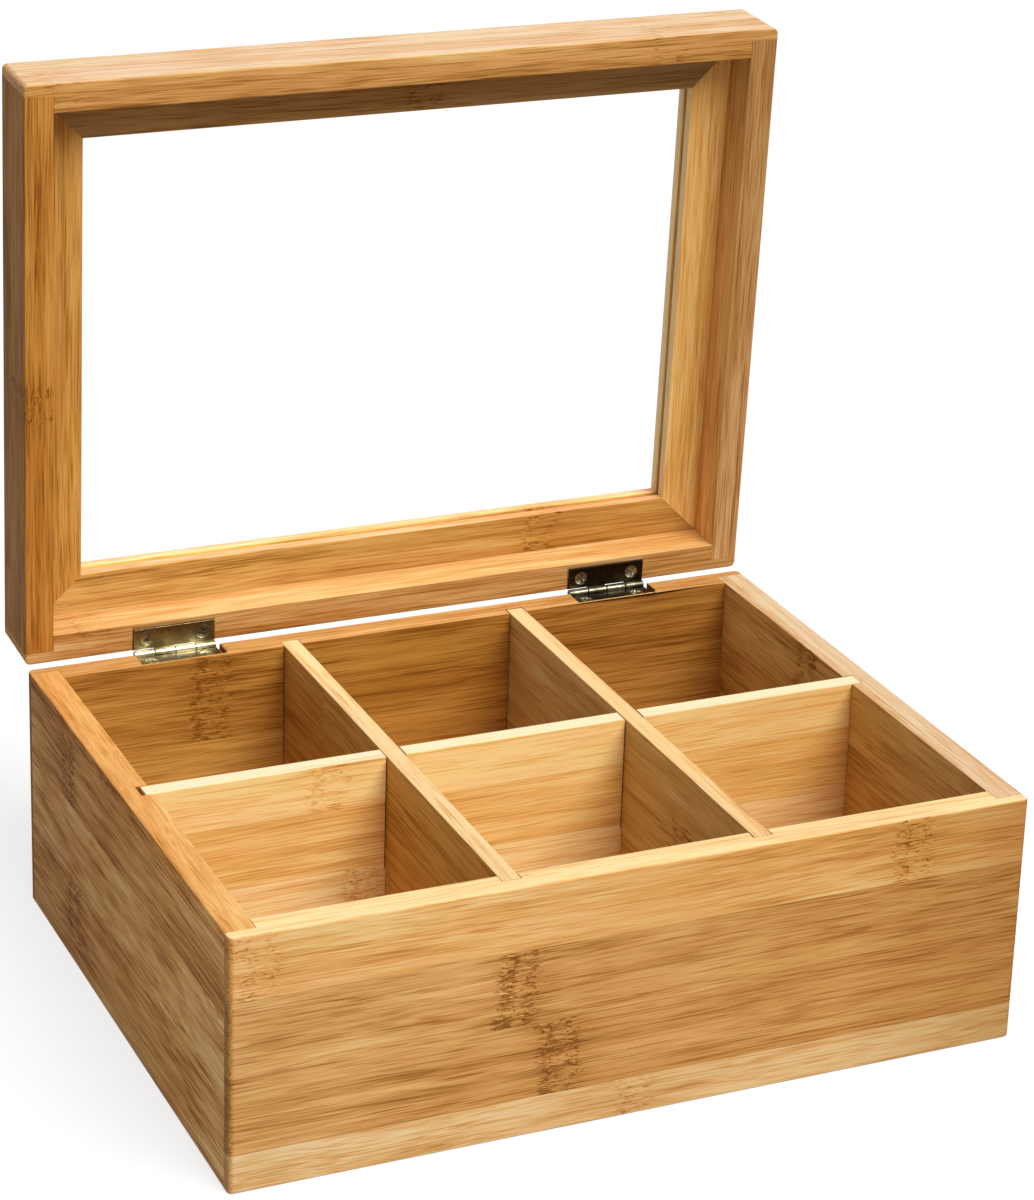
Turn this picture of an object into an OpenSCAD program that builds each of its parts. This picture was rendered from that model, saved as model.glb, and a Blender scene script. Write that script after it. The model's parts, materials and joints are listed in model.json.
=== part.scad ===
// Tea bag organizer box in bamboo: six compartments and a hinged lid with a window.
// Millimetres, +Z up, +X to the right along the width, +Y to the back.
// The origin is the middle of the underside. The lid is drawn standing open.

/* [Box] */
// Width of the box, side to side
box_w = 217; // [180:1:280]
// Depth of the box, front to back
box_d = 165; // [130:1:220]
// Height of the box without its lid
box_h = 69; // [50:1:100]
// Thickness of the four walls
wall = 8; // [7:0.5:12]
// Thickness of the front and rear panels that is left in front of a side panel's end
corner_lip = 3.2; // [2:0.1:5]
// Radius of the upright corners of the box and of the lid
corner_r = 1.5; // [0.5:0.1:2]
// Thickness of the bottom panel
floor_t = 4; // [3:0.5:6]
// How far the bottom panel is let into each wall
floor_let = 4; // [2:0.5:5]

/* [Dividers] */
// Thickness of the three dividers
divider_t = 5; // [3:0.5:7]
// Depth of the grooves in the walls that hold the dividers' ends
groove = 3.2; // [2:0.1:4]
// How far the long divider's left end stops short of its groove's bottom
long_divider_short = 1.2; // [0.1:0.1:1.5]

/* [Lid] */
// Height of the lid's rails
lid_h = 20.5; // [16:0.5:30]
// Thickness of the lid's rails
rail_t = 8; // [7:0.5:12]
// Thickness of the front and rear rails that is left in front of a side rail's end
rail_lip = 3.2; // [2:0.1:5]
// Width of the mitred slats round the window
slat_w = 11.5; // [8:0.5:18]
// Thickness of the mitred slats, which lie flush with the lid's top
slat_t = 8.5; // [6:0.5:12]
// Thickness of the window's pane
pane_t = 2; // [1.5:0.1:3]
// How far the pane runs into the slats on each side
pane_let = 4; // [2:0.5:5]
// Angle from the closed lid to the lid as it stands open
open_angle = 87; // [0:1:90]

/* [Hinges] */
// Distance from each end of the box to the middle of its hinge
hinge_inset = 42.5; // [30:0.5:60]
// Length of each hinge along its pin
hinge_l = 23.5; // [20:0.5:30]
// Width of a leaf, from the rear face of the wood to its front edge
leaf_d = 6.5; // [6:0.1:7]
// Thickness of a leaf
leaf_t = 0.9; // [0.6:0.1:1.2]
// Outside diameter of the knuckles
knuckle_d = 2.4; // [2.2:0.1:3.6]
// Diameter of the hinge pins
pin_d = 1.5; // [1:0.1:1.8]
// Distance from the rear face of the box back to the pins' axis
pin_back = 1; // [1:0.1:3]
// Distance from the top of the box down to the pins' axis
pin_drop = 0.6; // [0.3:0.1:0.9]
// How far the routed mortise in the rear panel runs on past the leaf's right end
mortise_over = 1; // [0.6:0.1:4]

/* [Screws] */
// Distance between the two screws of a leaf
screw_spacing = 16; // [12:0.5:18]
// Distance from the rear face of the wood to a screw's axis
screw_inset = 3.4; // [3:0.1:4]
// Diameter of the countersunk heads
head_d = 4; // [3:0.1:4.4]
// Diameter of the shanks
shank_d = 2; // [1.6:0.1:2.4]
// Length of the shanks under the head
shank_l = 9; // [6:0.5:12]
// Length of the cone at the end of a shank
tip_l = 2; // [1:0.5:3]
// Diameter of the blunt tip of that cone
tip_d = 0.5; // [0.2:0.1:1]
// Length of each arm of the cross recess, end to end
recess_l = 2.4; // [1.5:0.1:2.6]
// Width of each arm of the cross recess
recess_w = 0.5; // [0.3:0.05:0.6]
// Depth of the cross recess
recess_d = 0.5; // [0.3:0.05:0.6]

/* [Fits] */
// Gap between a divider's face and the wall of its groove
groove_gap = 0.1; // [0.05:0.05:0.3]
// Gap on each side of a divider where two dividers cross
notch_gap = 0.3; // [0.1:0.05:0.5]
// Gap between the pane and its groove, on its faces and edges
pane_gap = 0.2; // [0.1:0.05:0.4]
// Gap between the box and the closed lid
parting_gap = 0.3; // [0.1:0.05:0.4]
// Gap between a leaf's edges and its mortise
leaf_gap = 0.2; // [0.1:0.05:0.4]
// Gap along the pin between neighbouring knuckles
knuckle_gap = 0.3; // [0.1:0.05:0.4]
// Gap all round the pin in the lid's knuckles, which turn on it
running_gap = 0.05; // [0.03:0.01:0.1]
// Gap all round the pin in the box's knuckles, which hold it
holding_gap = 0.02; // [0.01:0.01:0.03]
// Gap all round a screw in its holes
screw_gap = 0.05; // [0.02:0.01:0.1]

/* [Hidden] */
$fn = 64;

// Box: outside faces, and the inner faces of the walls
side_x = box_w / 2;
end_y = box_d / 2;
inner_x = side_x - wall;
inner_y = end_y - wall;

// Dividers stand on the bottom panel, cross halfway up and leave compartments of equal size
divider_h = box_h - floor_t;
cross_z = floor_t + divider_h / 2;
cross_x = (inner_x - divider_t) / 3 + divider_t / 2;
groove_w = divider_t + 2 * groove_gap;
notch_w = divider_t + 2 * notch_gap;

// Lid: heights while it is closed, and the window's frame inside the rails
lid_z = box_h + parting_gap;
lid_top = lid_z + lid_h;
frame_x = side_x - rail_t;
frame_y = end_y - rail_t;
slat_z = lid_top - slat_t;
pane_x = frame_x - slat_w + pane_let;
pane_y = frame_y - slat_w + pane_let;
pane_z = slat_z + (slat_t - pane_t) / 2;

// Hinges: the pins' axis, and the two leaves, which meet the knuckles along their outsides
hinge_x = side_x - hinge_inset;
pin_y = end_y + pin_back;
pin_z = box_h - pin_drop;
knuckle_r = knuckle_d / 2;
knuckle_count = 4;
knuckle_l = (hinge_l - (knuckle_count - 1) * knuckle_gap) / knuckle_count;
base_leaf_z = pin_z - knuckle_r;
lid_leaf_z = pin_z + knuckle_r;

// Every cut runs on this far past the faces that it opens
past = 1;

bamboo_light = "#dcab63";
bamboo_deep = "#c08640";
bamboo_pale = "#e6c48a";
brass_worn = "#8c7f55";
brass_dark = "#3b3427";
steel = "#b9b39c";
clear_pane = [0.85, 0.93, 0.95, 0.35];

// A block given by its lowest and highest corners
module block(low, high) {
  translate(low)
    cube(high - low);
}

// A rectangle round the origin with the two corners at its low y side rounded
module rounded_end_plan(w, low_y, high_y, r) {
  translate([-w / 2, low_y + r])
    square([w, high_y - low_y - r]);
  translate([-w / 2 + r, low_y])
    square([w - 2 * r, r]);
  for (x = [-w / 2 + r, w / 2 - r])
    translate([x, low_y + r])
      circle(r);
}

// Its children at the right end, and mirrored at the left end
module at_both_ends() {
  children();
  mirror([1, 0, 0])
    children();
}

// A front board that runs the full width. Its rabbets leave a lip over the side boards' ends
module lipped_board(t, lip, low_z, high_z) {
  difference() {
    translate([0, 0, low_z])
      linear_extrude(high_z - low_z)
        rounded_end_plan(box_w, -end_y, -end_y + t, corner_r);
    at_both_ends()
      block([side_x - t, -end_y + lip, low_z - past], [side_x + past, -end_y + t + past, high_z + past]);
  }
}

// A side board between the two lips
module side_board(side, t, lip, low_z, high_z) {
  mid_x = side * (side_x - t / 2);
  block([mid_x - t / 2, -end_y + lip, low_z], [mid_x + t / 2, end_y - lip, high_z]);
}

// The bottom panel's space, which the walls are rabbeted for
module floor_space() {
  x = inner_x + floor_let;
  y = inner_y + floor_let;
  block([-x, -y, -past], [x, y, floor_t]);
}

// Grooves in the front and rear panels for the ends of the cross dividers
module cross_grooves() {
  for (x = [-cross_x, cross_x])
    block(
      [x - groove_w / 2, -inner_y - groove, floor_t],
      [x + groove_w / 2, inner_y + groove, box_h + past]
    );
}

// Grooves in the side panels for the ends of the long divider
module long_groove() {
  block(
    [-inner_x - groove, -groove_w / 2, floor_t],
    [inner_x + groove, groove_w / 2, box_h + past]
  );
}

// Plan of a routed mortise: square at the left, a round front corner at the right end
module routed_plan() {
  left = -hinge_l / 2 - leaf_gap;
  right = hinge_l / 2 + mortise_over;
  front = end_y - leaf_d - leaf_gap;
  translate([left, front])
    square([right - mortise_over - left, leaf_d + leaf_gap + past]);
  translate([right - mortise_over - past, front + mortise_over])
    square([mortise_over + past, leaf_d + leaf_gap + past - mortise_over]);
  translate([right - mortise_over, front + mortise_over])
    circle(mortise_over);
}

// The mortise for a base leaf and the screw holes under it
module base_mortise(x) {
  translate([x, 0, base_leaf_z])
    linear_extrude(box_h - base_leaf_z + past)
      routed_plan();
  at_screws(x, base_leaf_z)
    mirror([0, 0, 1])
      pilot_hole();
}

// The mortise for a lid leaf and the screw holes over it, as the lid lies closed
module lid_mortise(x) {
  block(
    [x - hinge_l / 2 - leaf_gap, end_y - leaf_d - leaf_gap, lid_z - past],
    [x + hinge_l / 2 + leaf_gap, end_y + past, lid_leaf_z]
  );
  at_screws(x, lid_leaf_z)
    pilot_hole();
}

// Puts its children at the two screws of the hinge at x
module at_screws(x, z) {
  for (side = [-1, 1])
    translate([x + side * screw_spacing / 2, end_y - screw_inset, z])
      children();
}

// Turns its children with the lid, from lying closed to standing open
module on_lid() {
  translate([0, pin_y, pin_z])
    rotate([-open_angle, 0, 0])
      translate([0, -pin_y, -pin_z])
        children();
}

// A screw's shank pointing up from the origin, with its blunt tip
module shank() {
  cylinder(h = shank_l - tip_l, r = shank_d / 2);
  translate([0, 0, shank_l - tip_l])
    cylinder(h = tip_l, r1 = shank_d / 2, r2 = tip_d / 2);
}

// The hole drilled in the wood for one shank
module pilot_hole() {
  translate([0, 0, -past])
    cylinder(h = past + shank_l + screw_gap, r = shank_d / 2 + screw_gap);
}

// A countersunk screw pointing up, its head as thick as the leaf and flush with it
module screw() {
  difference() {
    union() {
      shank();
      translate([0, 0, -leaf_t])
        cylinder(h = leaf_t, r1 = head_d / 2, r2 = shank_d / 2);
    }
    for (turn = [45, 135])
      translate([0, 0, -leaf_t])
        rotate([0, 0, turn])
          cube([recess_l, recess_w, 2 * recess_d], center = true);
  }
}

// A bar on the pins' axis along the knuckle numbered i from left, longer by over at both ends
module knuckle_bar(left, i, r, over) {
  translate([left + i * (knuckle_l + knuckle_gap) - over, pin_y, pin_z])
    rotate([0, 90, 0])
      cylinder(h = knuckle_l + 2 * over, r = r);
}

// The countersunk hole in a leaf, its mouth downwards
module leaf_hole() {
  mouth_r = head_d / 2 + screw_gap;
  hole_r = shank_d / 2 + screw_gap;
  translate([0, 0, -leaf_t - past])
    cylinder(h = past, r = mouth_r);
  translate([0, 0, -leaf_t])
    cylinder(h = leaf_t, r1 = mouth_r, r2 = hole_r);
  cylinder(h = past, r = hole_r);
}

// One leaf of the hinge at x as the lid lies closed, above its knuckles. It has every second
// knuckle from the left, starting with the one numbered first, bored gap larger than the pin.
// Its straight edge stays leaf_gap clear of the other leaf's knuckles
module leaf(x, first, gap) {
  left = x - hinge_l / 2;
  difference() {
    union() {
      difference() {
        block([left, end_y - leaf_d, lid_leaf_z - leaf_t], [left + hinge_l, end_y, lid_leaf_z]);
        for (i = [1 - first : 2 : knuckle_count - 1])
          knuckle_bar(left, i, knuckle_r + leaf_gap, knuckle_gap);
      }
      for (i = [first : 2 : knuckle_count - 1]) {
        start = left + i * (knuckle_l + knuckle_gap);
        block([start, end_y - leaf_t, lid_leaf_z - leaf_t], [start + knuckle_l, pin_y, lid_leaf_z]);
        knuckle_bar(left, i, knuckle_r, 0);
      }
    }
    translate([left - past, pin_y, pin_z])
      rotate([0, 90, 0])
        cylinder(h = hinge_l + 2 * past, r = pin_d / 2 + gap);
    at_screws(x, lid_leaf_z)
      leaf_hole();
  }
}

// Turns its children over about the pins' axis level, which makes a lid leaf a base leaf
module below_pin() {
  translate([0, 0, 2 * pin_z])
    mirror([0, 0, 1])
      children();
}

// A mitred slat along the front of a frame that is 2 half_x wide and 2 half_y deep
module slat(half_x, half_y) {
  difference() {
    translate([0, 0, slat_z])
      linear_extrude(slat_t)
        polygon([
          [-half_x, -half_y],
          [half_x, -half_y],
          [half_x - slat_w, -half_y + slat_w],
          [-half_x + slat_w, -half_y + slat_w]
        ]);
    pane_space(half_x - slat_w + pane_let + pane_gap, half_y - slat_w + pane_let + pane_gap, pane_gap);
  }
}

// The space of the pane, given by its half sizes, thicker by gap on both faces
module pane_space(half_x, half_y, gap) {
  block([-half_x, -half_y, pane_z - gap], [half_x, half_y, pane_z + pane_t + gap]);
}

module front_panel() {
  color(bamboo_light)
    difference() {
      lipped_board(wall, corner_lip, 0, box_h);
      floor_space();
      cross_grooves();
    }
}

module rear_panel() {
  color(bamboo_deep)
    difference() {
      rotate([0, 0, 180])
        lipped_board(wall, corner_lip, 0, box_h);
      floor_space();
      cross_grooves();
      base_mortise(-hinge_x);
      base_mortise(hinge_x);
    }
}

module side_panel(side) {
  color(bamboo_light)
    difference() {
      side_board(side, wall, corner_lip, 0, box_h);
      floor_space();
      long_groove();
    }
}

module bottom_panel() {
  color(bamboo_pale)
    intersection() {
      floor_space();
      block([-side_x, -end_y, 0], [side_x, end_y, box_h]);
    }
}

// The long divider is notched from above, down to halfway
module long_divider() {
  color(bamboo_pale)
    difference() {
      block(
        [-inner_x - groove + long_divider_short, -divider_t / 2, floor_t],
        [inner_x + groove - groove_gap, divider_t / 2, box_h]
      );
      for (x = [-cross_x, cross_x])
        block([x - notch_w / 2, -divider_t, cross_z], [x + notch_w / 2, divider_t, box_h + past]);
    }
}

// A cross divider is notched from below, so that its top runs through
module cross_divider(x) {
  end = inner_y + groove - groove_gap;
  color(bamboo_light)
    difference() {
      block([x - divider_t / 2, -end, floor_t], [x + divider_t / 2, end, box_h]);
      block(
        [x - divider_t, -notch_w / 2, floor_t - past],
        [x + divider_t, notch_w / 2, cross_z + notch_gap]
      );
    }
}

module lid_front_rail() {
  color(bamboo_light)
    on_lid()
      lipped_board(rail_t, rail_lip, lid_z, lid_top);
}

module lid_rear_rail() {
  color(bamboo_deep)
    on_lid()
      difference() {
        rotate([0, 0, 180])
          lipped_board(rail_t, rail_lip, lid_z, lid_top);
        lid_mortise(-hinge_x);
        lid_mortise(hinge_x);
      }
}

module lid_side_rail(side) {
  color(bamboo_light)
    on_lid()
      side_board(side, rail_t, rail_lip, lid_z, lid_top);
}

// The slat along the front, or along the rear when turned half round
module window_end_slat(turn) {
  color(bamboo_light)
    on_lid()
      rotate([0, 0, turn])
        slat(frame_x, frame_y);
}

// The slat along the right, or along the left when turned the other way
module window_side_slat(turn) {
  color(bamboo_deep)
    on_lid()
      rotate([0, 0, turn])
        slat(frame_y, frame_x);
}

module window_pane() {
  color(clear_pane)
    on_lid()
      pane_space(pane_x, pane_y, 0);
}

module hinge_base_leaf(x, finish) {
  color(finish)
    below_pin()
      leaf(x, 0, holding_gap);
}

module hinge_lid_leaf(x, finish) {
  color(finish)
    on_lid()
      leaf(x, 1, running_gap);
}

module hinge_pin(x) {
  color(steel)
    translate([x - hinge_l / 2, pin_y, pin_z])
      rotate([0, 90, 0])
        cylinder(h = hinge_l, r = pin_d / 2);
}

module hinge_base_screws(x) {
  color(steel)
    at_screws(x, base_leaf_z)
      mirror([0, 0, 1])
        screw();
}

module hinge_lid_screws(x) {
  color(steel)
    on_lid()
      at_screws(x, lid_leaf_z)
        screw();
}

front_panel();
rear_panel();
side_panel(-1);  // left_side_panel
side_panel(1);  // right_side_panel
bottom_panel();
long_divider();
cross_divider(-cross_x);  // left_cross_divider
cross_divider(cross_x);  // right_cross_divider
lid_front_rail();
lid_rear_rail();
lid_side_rail(-1);  // lid_left_rail
lid_side_rail(1);  // lid_right_rail
window_end_slat(0);  // window_front_slat
window_end_slat(180);  // window_rear_slat
window_side_slat(-90);  // window_left_slat
window_side_slat(90);  // window_right_slat
window_pane();
hinge_base_leaf(-hinge_x, brass_worn);  // left_hinge_base_leaf
hinge_lid_leaf(-hinge_x, brass_worn);  // left_hinge_lid_leaf
hinge_pin(-hinge_x);  // left_hinge_pin
hinge_base_screws(-hinge_x);  // left_hinge_base_screws
hinge_lid_screws(-hinge_x);  // left_hinge_lid_screws
hinge_base_leaf(hinge_x, brass_dark);  // right_hinge_base_leaf
hinge_lid_leaf(hinge_x, brass_dark);  // right_hinge_lid_leaf
hinge_pin(hinge_x);  // right_hinge_pin
hinge_base_screws(hinge_x);  // right_hinge_base_screws
hinge_lid_screws(hinge_x);  // right_hinge_lid_screws
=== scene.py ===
"""A bamboo tea bag box with a windowed lid, dressed and lit for a studio picture."""
import json
import logging
import math
from dataclasses import dataclass, field
from enum import Enum

import bmesh
import bpy
import numpy as np
from mathutils import Matrix, Vector


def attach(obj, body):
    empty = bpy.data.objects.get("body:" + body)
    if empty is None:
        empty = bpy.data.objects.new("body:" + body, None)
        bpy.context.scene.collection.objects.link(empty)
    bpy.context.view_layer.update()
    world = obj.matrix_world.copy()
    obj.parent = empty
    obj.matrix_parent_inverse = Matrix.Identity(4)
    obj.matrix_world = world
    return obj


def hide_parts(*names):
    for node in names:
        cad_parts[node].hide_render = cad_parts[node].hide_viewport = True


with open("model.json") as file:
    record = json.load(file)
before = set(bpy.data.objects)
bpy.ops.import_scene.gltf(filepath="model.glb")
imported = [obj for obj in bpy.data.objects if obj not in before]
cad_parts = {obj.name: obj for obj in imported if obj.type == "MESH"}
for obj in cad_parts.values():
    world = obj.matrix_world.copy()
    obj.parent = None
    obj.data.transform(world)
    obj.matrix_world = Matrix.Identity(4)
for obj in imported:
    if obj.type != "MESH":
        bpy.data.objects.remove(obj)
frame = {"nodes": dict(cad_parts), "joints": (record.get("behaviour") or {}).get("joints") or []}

log = logging.getLogger("tea_box")

MM = 0.001

Point = tuple[float, float, float]
Colour = tuple[float, float, float]
Object = bpy.types.Object
Material = bpy.types.Material
Node = bpy.types.Node
Socket = bpy.types.NodeSocket
Tree = bpy.types.NodeTree
Sockets = dict[str, Socket]
Feed = Socket | float | Point

BLACK: Colour = (0.0, 0.0, 0.0)
PLAIN: Colour = (1.0, 1.0, 1.0)


# Places in the model


@dataclass(frozen=True)
class HingeLine:
    """The line on which the lid turns, and how far the lid stands open at rest.

    A point is brought to where it lies with the lid closed by turning it about the line.

    Args:
        origin: A point on the line, in metres.
        open_angle: How far the lid stands open at rest, in radians.
    """

    origin: Vector
    open_angle: float

    @classmethod
    def of_the_lid(cls) -> "HingeLine":
        """The lid's joint, read from the frame."""
        joint = frame["joints"][0]
        return cls(Vector(joint["pos_m"]), math.radians(max(joint["range_deg"])))

    def closing(self) -> Matrix:
        """The turn that closes the lid, as a 4x4 matrix."""
        there = Matrix.Translation(self.origin)
        return there @ Matrix.Rotation(self.open_angle, 4, "X") @ there.inverted()


class Part(Enum):
    """The two halves of the box, by the body that carries them."""

    BOX = "root"
    LID = "lid"

    def closing(self) -> Matrix:
        """The turn that brings this half to where it lies with the lid closed."""
        return HingeLine.of_the_lid().closing() if self is Part.LID else Matrix.Identity(4)


class Grain(Enum):
    """Which way a board's fibres run, its strips are laid side by side, and its faces look."""

    WALL_ALONG_X = ((1, 0, 0), (0, 0, 1), (0, -1, 0))
    WALL_ALONG_Y = ((0, 1, 0), (0, 0, 1), (1, 0, 0))
    FLAT_ALONG_X = ((1, 0, 0), (0, 1, 0), (0, 0, 1))
    FLAT_ALONG_Y = ((0, 1, 0), (-1, 0, 0), (0, 0, 1))

    def rows(self) -> Matrix:
        """The three directions as the rows of a 3x3 matrix."""
        return Matrix(self.value)


def values_of(
    items: bpy.types.bpy_prop_collection, name: str, width: int = 1, kind: type = np.float32
) -> np.ndarray:
    """Reads one value of every item in a mesh's list, such as its vertices.

    Args:
        items: The list.
        name: The value's name.
        width: How many numbers it has.
        kind: The kind of number.

    Returns:
        An array with one row an item, or one number where the width is 1.
    """
    flat = np.empty(len(items) * width, kind)
    items.foreach_get(name, flat)
    return flat.reshape(-1, width) if width > 1 else flat


def corners_of(node: str) -> np.ndarray:
    """The corners of a CAD node's mesh, one row each, in metres."""
    return values_of(frame["nodes"][node].data.vertices, "co", 3).astype(float)


def moved(points: np.ndarray, matrix: Matrix) -> np.ndarray:
    """Points, one row each, after a 4x4 matrix."""
    m = np.array(matrix)
    return points @ m[:3, :3].T + m[:3, 3]


def closed_box(node: str, part: Part) -> tuple[np.ndarray, np.ndarray]:
    """The lowest and highest corner of a CAD node, in metres, with the lid closed."""
    points = moved(corners_of(node), part.closing())
    return points.min(0), points.max(0)


# Meshes


def linked(name: str, mesh: bpy.types.Mesh) -> Object:
    """Shades a mesh smooth and makes an object of it at the origin.

    Args:
        name: The object's name.
        mesh: The mesh.

    Returns:
        The object.
    """
    mesh.polygons.foreach_set("use_smooth", np.ones(len(mesh.polygons), bool))
    piece = bpy.data.objects.new(name, mesh)
    bpy.context.scene.collection.objects.link(piece)
    return piece


def new_piece(name: str, points: np.ndarray, faces: np.ndarray) -> Object:
    """Makes an object at the origin.

    Args:
        name: Its name.
        points: Its points, one row each, in metres.
        faces: The numbers of each face's points, one row each.

    Returns:
        The object.
    """
    mesh = bpy.data.meshes.new(name)
    mesh.from_pydata(points.tolist(), [], faces.tolist())
    mesh.validate()
    return linked(name, mesh)


def merged_copy(node: str) -> Object:
    """Copies a CAD node's surface, with doubled corners merged and each flat face whole.

    Corners that lie within a merge distance of each other get one number, from their rounded
    places, and the triangles are renumbered with it. Edges between coplanar faces then go.

    Args:
        node: The CAD node's name.

    Returns:
        The copy.
    """
    merge_distance = 1e-6
    flat_angle = math.radians(0.5)
    points = corners_of(node)
    source = frame["nodes"][node].data
    source.calc_loop_triangles()
    triangles = values_of(source.loop_triangles, "vertices", 3, np.int32)
    cells = np.round(points / merge_distance).astype(np.int64)
    _, first, number = np.unique(cells, axis=0, return_index=True, return_inverse=True)
    faces = number.reshape(-1)[triangles]
    whole = (faces != np.roll(faces, 1, axis=1)).all(1)
    piece = new_piece(node + "_piece", points[first], faces[whole])
    work = bmesh.new()
    work.from_mesh(piece.data)
    bmesh.ops.dissolve_limit(work, angle_limit=flat_angle, verts=work.verts, edges=work.edges)
    work.to_mesh(piece.data)
    work.free()
    return piece


@dataclass
class EdgeList:
    """A closed mesh's edges as arrays, one row an edge.

    Args:
        middle: Each edge's middle.
        length: Its length.
        first_normal: The normal of one of its faces.
        second_normal: The normal of the other.
        turn: The angle between its faces in radians, positive where the edge sticks out.
    """

    middle: np.ndarray
    length: np.ndarray
    first_normal: np.ndarray
    second_normal: np.ndarray
    turn: np.ndarray

    @classmethod
    def of(cls, mesh: bpy.types.Mesh) -> "EdgeList":
        """Reads the edges of a closed mesh.

        An edge sticks out where the cross product of its faces' normals runs the way that the
        first face goes round.

        Args:
            mesh: The mesh.

        Returns:
            Its edges.
        """
        edge_of = values_of(mesh.loops, "edge_index", kind=np.int32)
        vertex_of = values_of(mesh.loops, "vertex_index", kind=np.int32)
        start = values_of(mesh.polygons, "loop_start", kind=np.int32)
        total = values_of(mesh.polygons, "loop_total", kind=np.int32)
        normals = values_of(mesh.polygons, "normal", 3)
        points = values_of(mesh.vertices, "co", 3)
        face_of = np.repeat(np.arange(len(start)), total)
        following = np.arange(len(edge_of)) + 1
        last = following == (start + total)[face_of]
        following[last] = start[face_of[last]]
        pairs = np.argsort(edge_of, kind="stable").reshape(-1, 2)
        here, there = vertex_of[pairs[:, 0]], vertex_of[following[pairs[:, 0]]]
        n1, n2 = normals[face_of[pairs[:, 0]]], normals[face_of[pairs[:, 1]]]
        along = points[there] - points[here]
        cosine = np.clip((n1 * n2).sum(1), -1, 1)
        sign = np.sign((np.cross(n1, n2) * along).sum(1))
        length = np.linalg.norm(along, axis=1)
        return cls((points[here] + points[there]) / 2, length, n1, n2, np.arccos(cosine) * sign)


@dataclass(frozen=True)
class Arris:
    """How the sharp edges of a piece are eased, as radii and lengths in metres.

    Args:
        outer: Radius on the edges round the outside.
        inner: Radius on the other long free edges.
        joint: Radius on every other sharp edge, as the fine line that shows at a joint.
        shortest: Length from which a free edge inside counts as long.
        segments: Faces across a rounded edge.
        least_turn: Angle in radians from which an edge is sharp.
        probe: How far in front of a face a neighbour is looked for.
        level: How close to the piece's top or underside an edge is at it.
    """

    outer: float
    inner: float
    joint: float = 0.06 * MM
    shortest: float = 40 * MM
    segments: int = 3
    least_turn: float = math.radians(30)
    probe: float = 0.4 * MM
    level: float = 0.01 * MM

    def _radii(
        self, mesh: bpy.types.Mesh, edges: EdgeList, part: Part, neighbours: list[str]
    ) -> np.ndarray:
        """The radius of every edge of a piece, 0 where it isn't eased.

        An edge is free where neither of its faces is covered by a neighbour. A point just in
        front of each face is tried against the neighbours' boxes, with the lid closed. An edge
        is outside where it lies at the piece's top or underside and both its faces look out.

        Args:
            mesh: The piece's mesh.
            edges: Its edges.
            part: The half of the box that it belongs to.
            neighbours: CAD nodes that it is glued to.

        Returns:
            The radii in metres.
        """
        close = part.closing()
        normals = (edges.first_normal, edges.second_normal)
        free = np.ones(len(edges.turn), bool)
        for ahead, back in (normals, normals[::-1]):
            tried = moved(edges.middle + self.probe * (ahead - back), close)
            for name in neighbours:
                low, high = closed_box(name, part)
                free &= ~((tried > low) & (tried < high)).all(1)
        heights = moved(values_of(mesh.vertices, "co", 3), close)[:, 2]
        middle = moved(edges.middle, close)
        outside = middle[:, 2] - heights.min() < self.level
        outside |= heights.max() - middle[:, 2] < self.level
        turn_only = np.array(close)[:3, :3]
        for normal in normals:
            outside &= looks_out(normal @ turn_only.T, middle)
        radius = np.where(edges.length > self.shortest, self.inner, self.joint)
        radius = np.where(free, np.where(outside, self.outer, radius), self.joint)
        return radius * (edges.turn > self.least_turn)

    def ease(self, piece: Object, part: Part, neighbours: list[str]) -> None:
        """Rounds a piece's free edges with a bevel, and keeps its joints tight.

        Args:
            piece: The piece to ease.
            part: The half of the box that it belongs to.
            neighbours: CAD nodes that it is glued to.
        """
        mesh = piece.data
        edges = EdgeList.of(mesh)
        radius = self._radii(mesh, edges, part, neighbours)
        known = mesh.attributes
        weight = known.new("bevel_weight_edge", "FLOAT", "EDGE")
        weight.data.foreach_set("value", (radius / self.outer).astype(np.float32))
        crease = known.get("sharp_edge") or known.new("sharp_edge", "BOOLEAN", "EDGE")
        crease.data.foreach_set("value", (np.abs(edges.turn) > self.least_turn) & (radius == 0))
        bevel = piece.modifiers.new("eased", "BEVEL")
        bevel.limit_method = "WEIGHT"
        bevel.width = self.outer
        bevel.segments = self.segments
        bevel.harden_normals = True
        bevel.use_clamp_overlap = False


def looks_out(normals: np.ndarray, places: np.ndarray) -> np.ndarray:
    """True where a normal points away from the middle of the box, or up or down."""
    steep = 0.5
    return ((normals * places)[:, :2].sum(1) > 0) | (np.abs(normals[:, 2]) > steep)


def mark_faces(piece: Object, grain: Grain, part: Part) -> None:
    """Stores how squarely each face looks along the three directions of a board.

    The attribute facing holds the sizes of the normal's shares along the fibres (end grain),
    across the strips (the board's narrow edges) and through the board (its broad faces).

    Args:
        piece: The board's piece.
        grain: The way its fibres run.
        part: The half of the box that it belongs to.
    """
    axes = np.array(grain.rows() @ part.closing().to_3x3())
    shares = np.abs(values_of(piece.data.polygons, "normal", 3) @ axes.T)
    facing = piece.data.attributes.new("facing", "FLOAT_VECTOR", "FACE")
    facing.data.foreach_set("vector", shares.astype(np.float32).ravel())


def ring_faces(rings: int, count: int) -> np.ndarray:
    """Quads between neighbouring rings of points that are numbered ring by ring.

    Args:
        rings: How many rings there are.
        count: How many points each has.

    Returns:
        The numbers of each face's points, one row each.
    """
    ring, step = (grid.ravel() for grid in np.meshgrid(range(rings - 1), range(count), indexing="ij"))
    low, high = ring * count, (ring + 1) * count
    ahead = (step + 1) % count
    return np.stack([low + step, low + ahead, high + ahead, high + step], 1)


# Shader graphs


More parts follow.
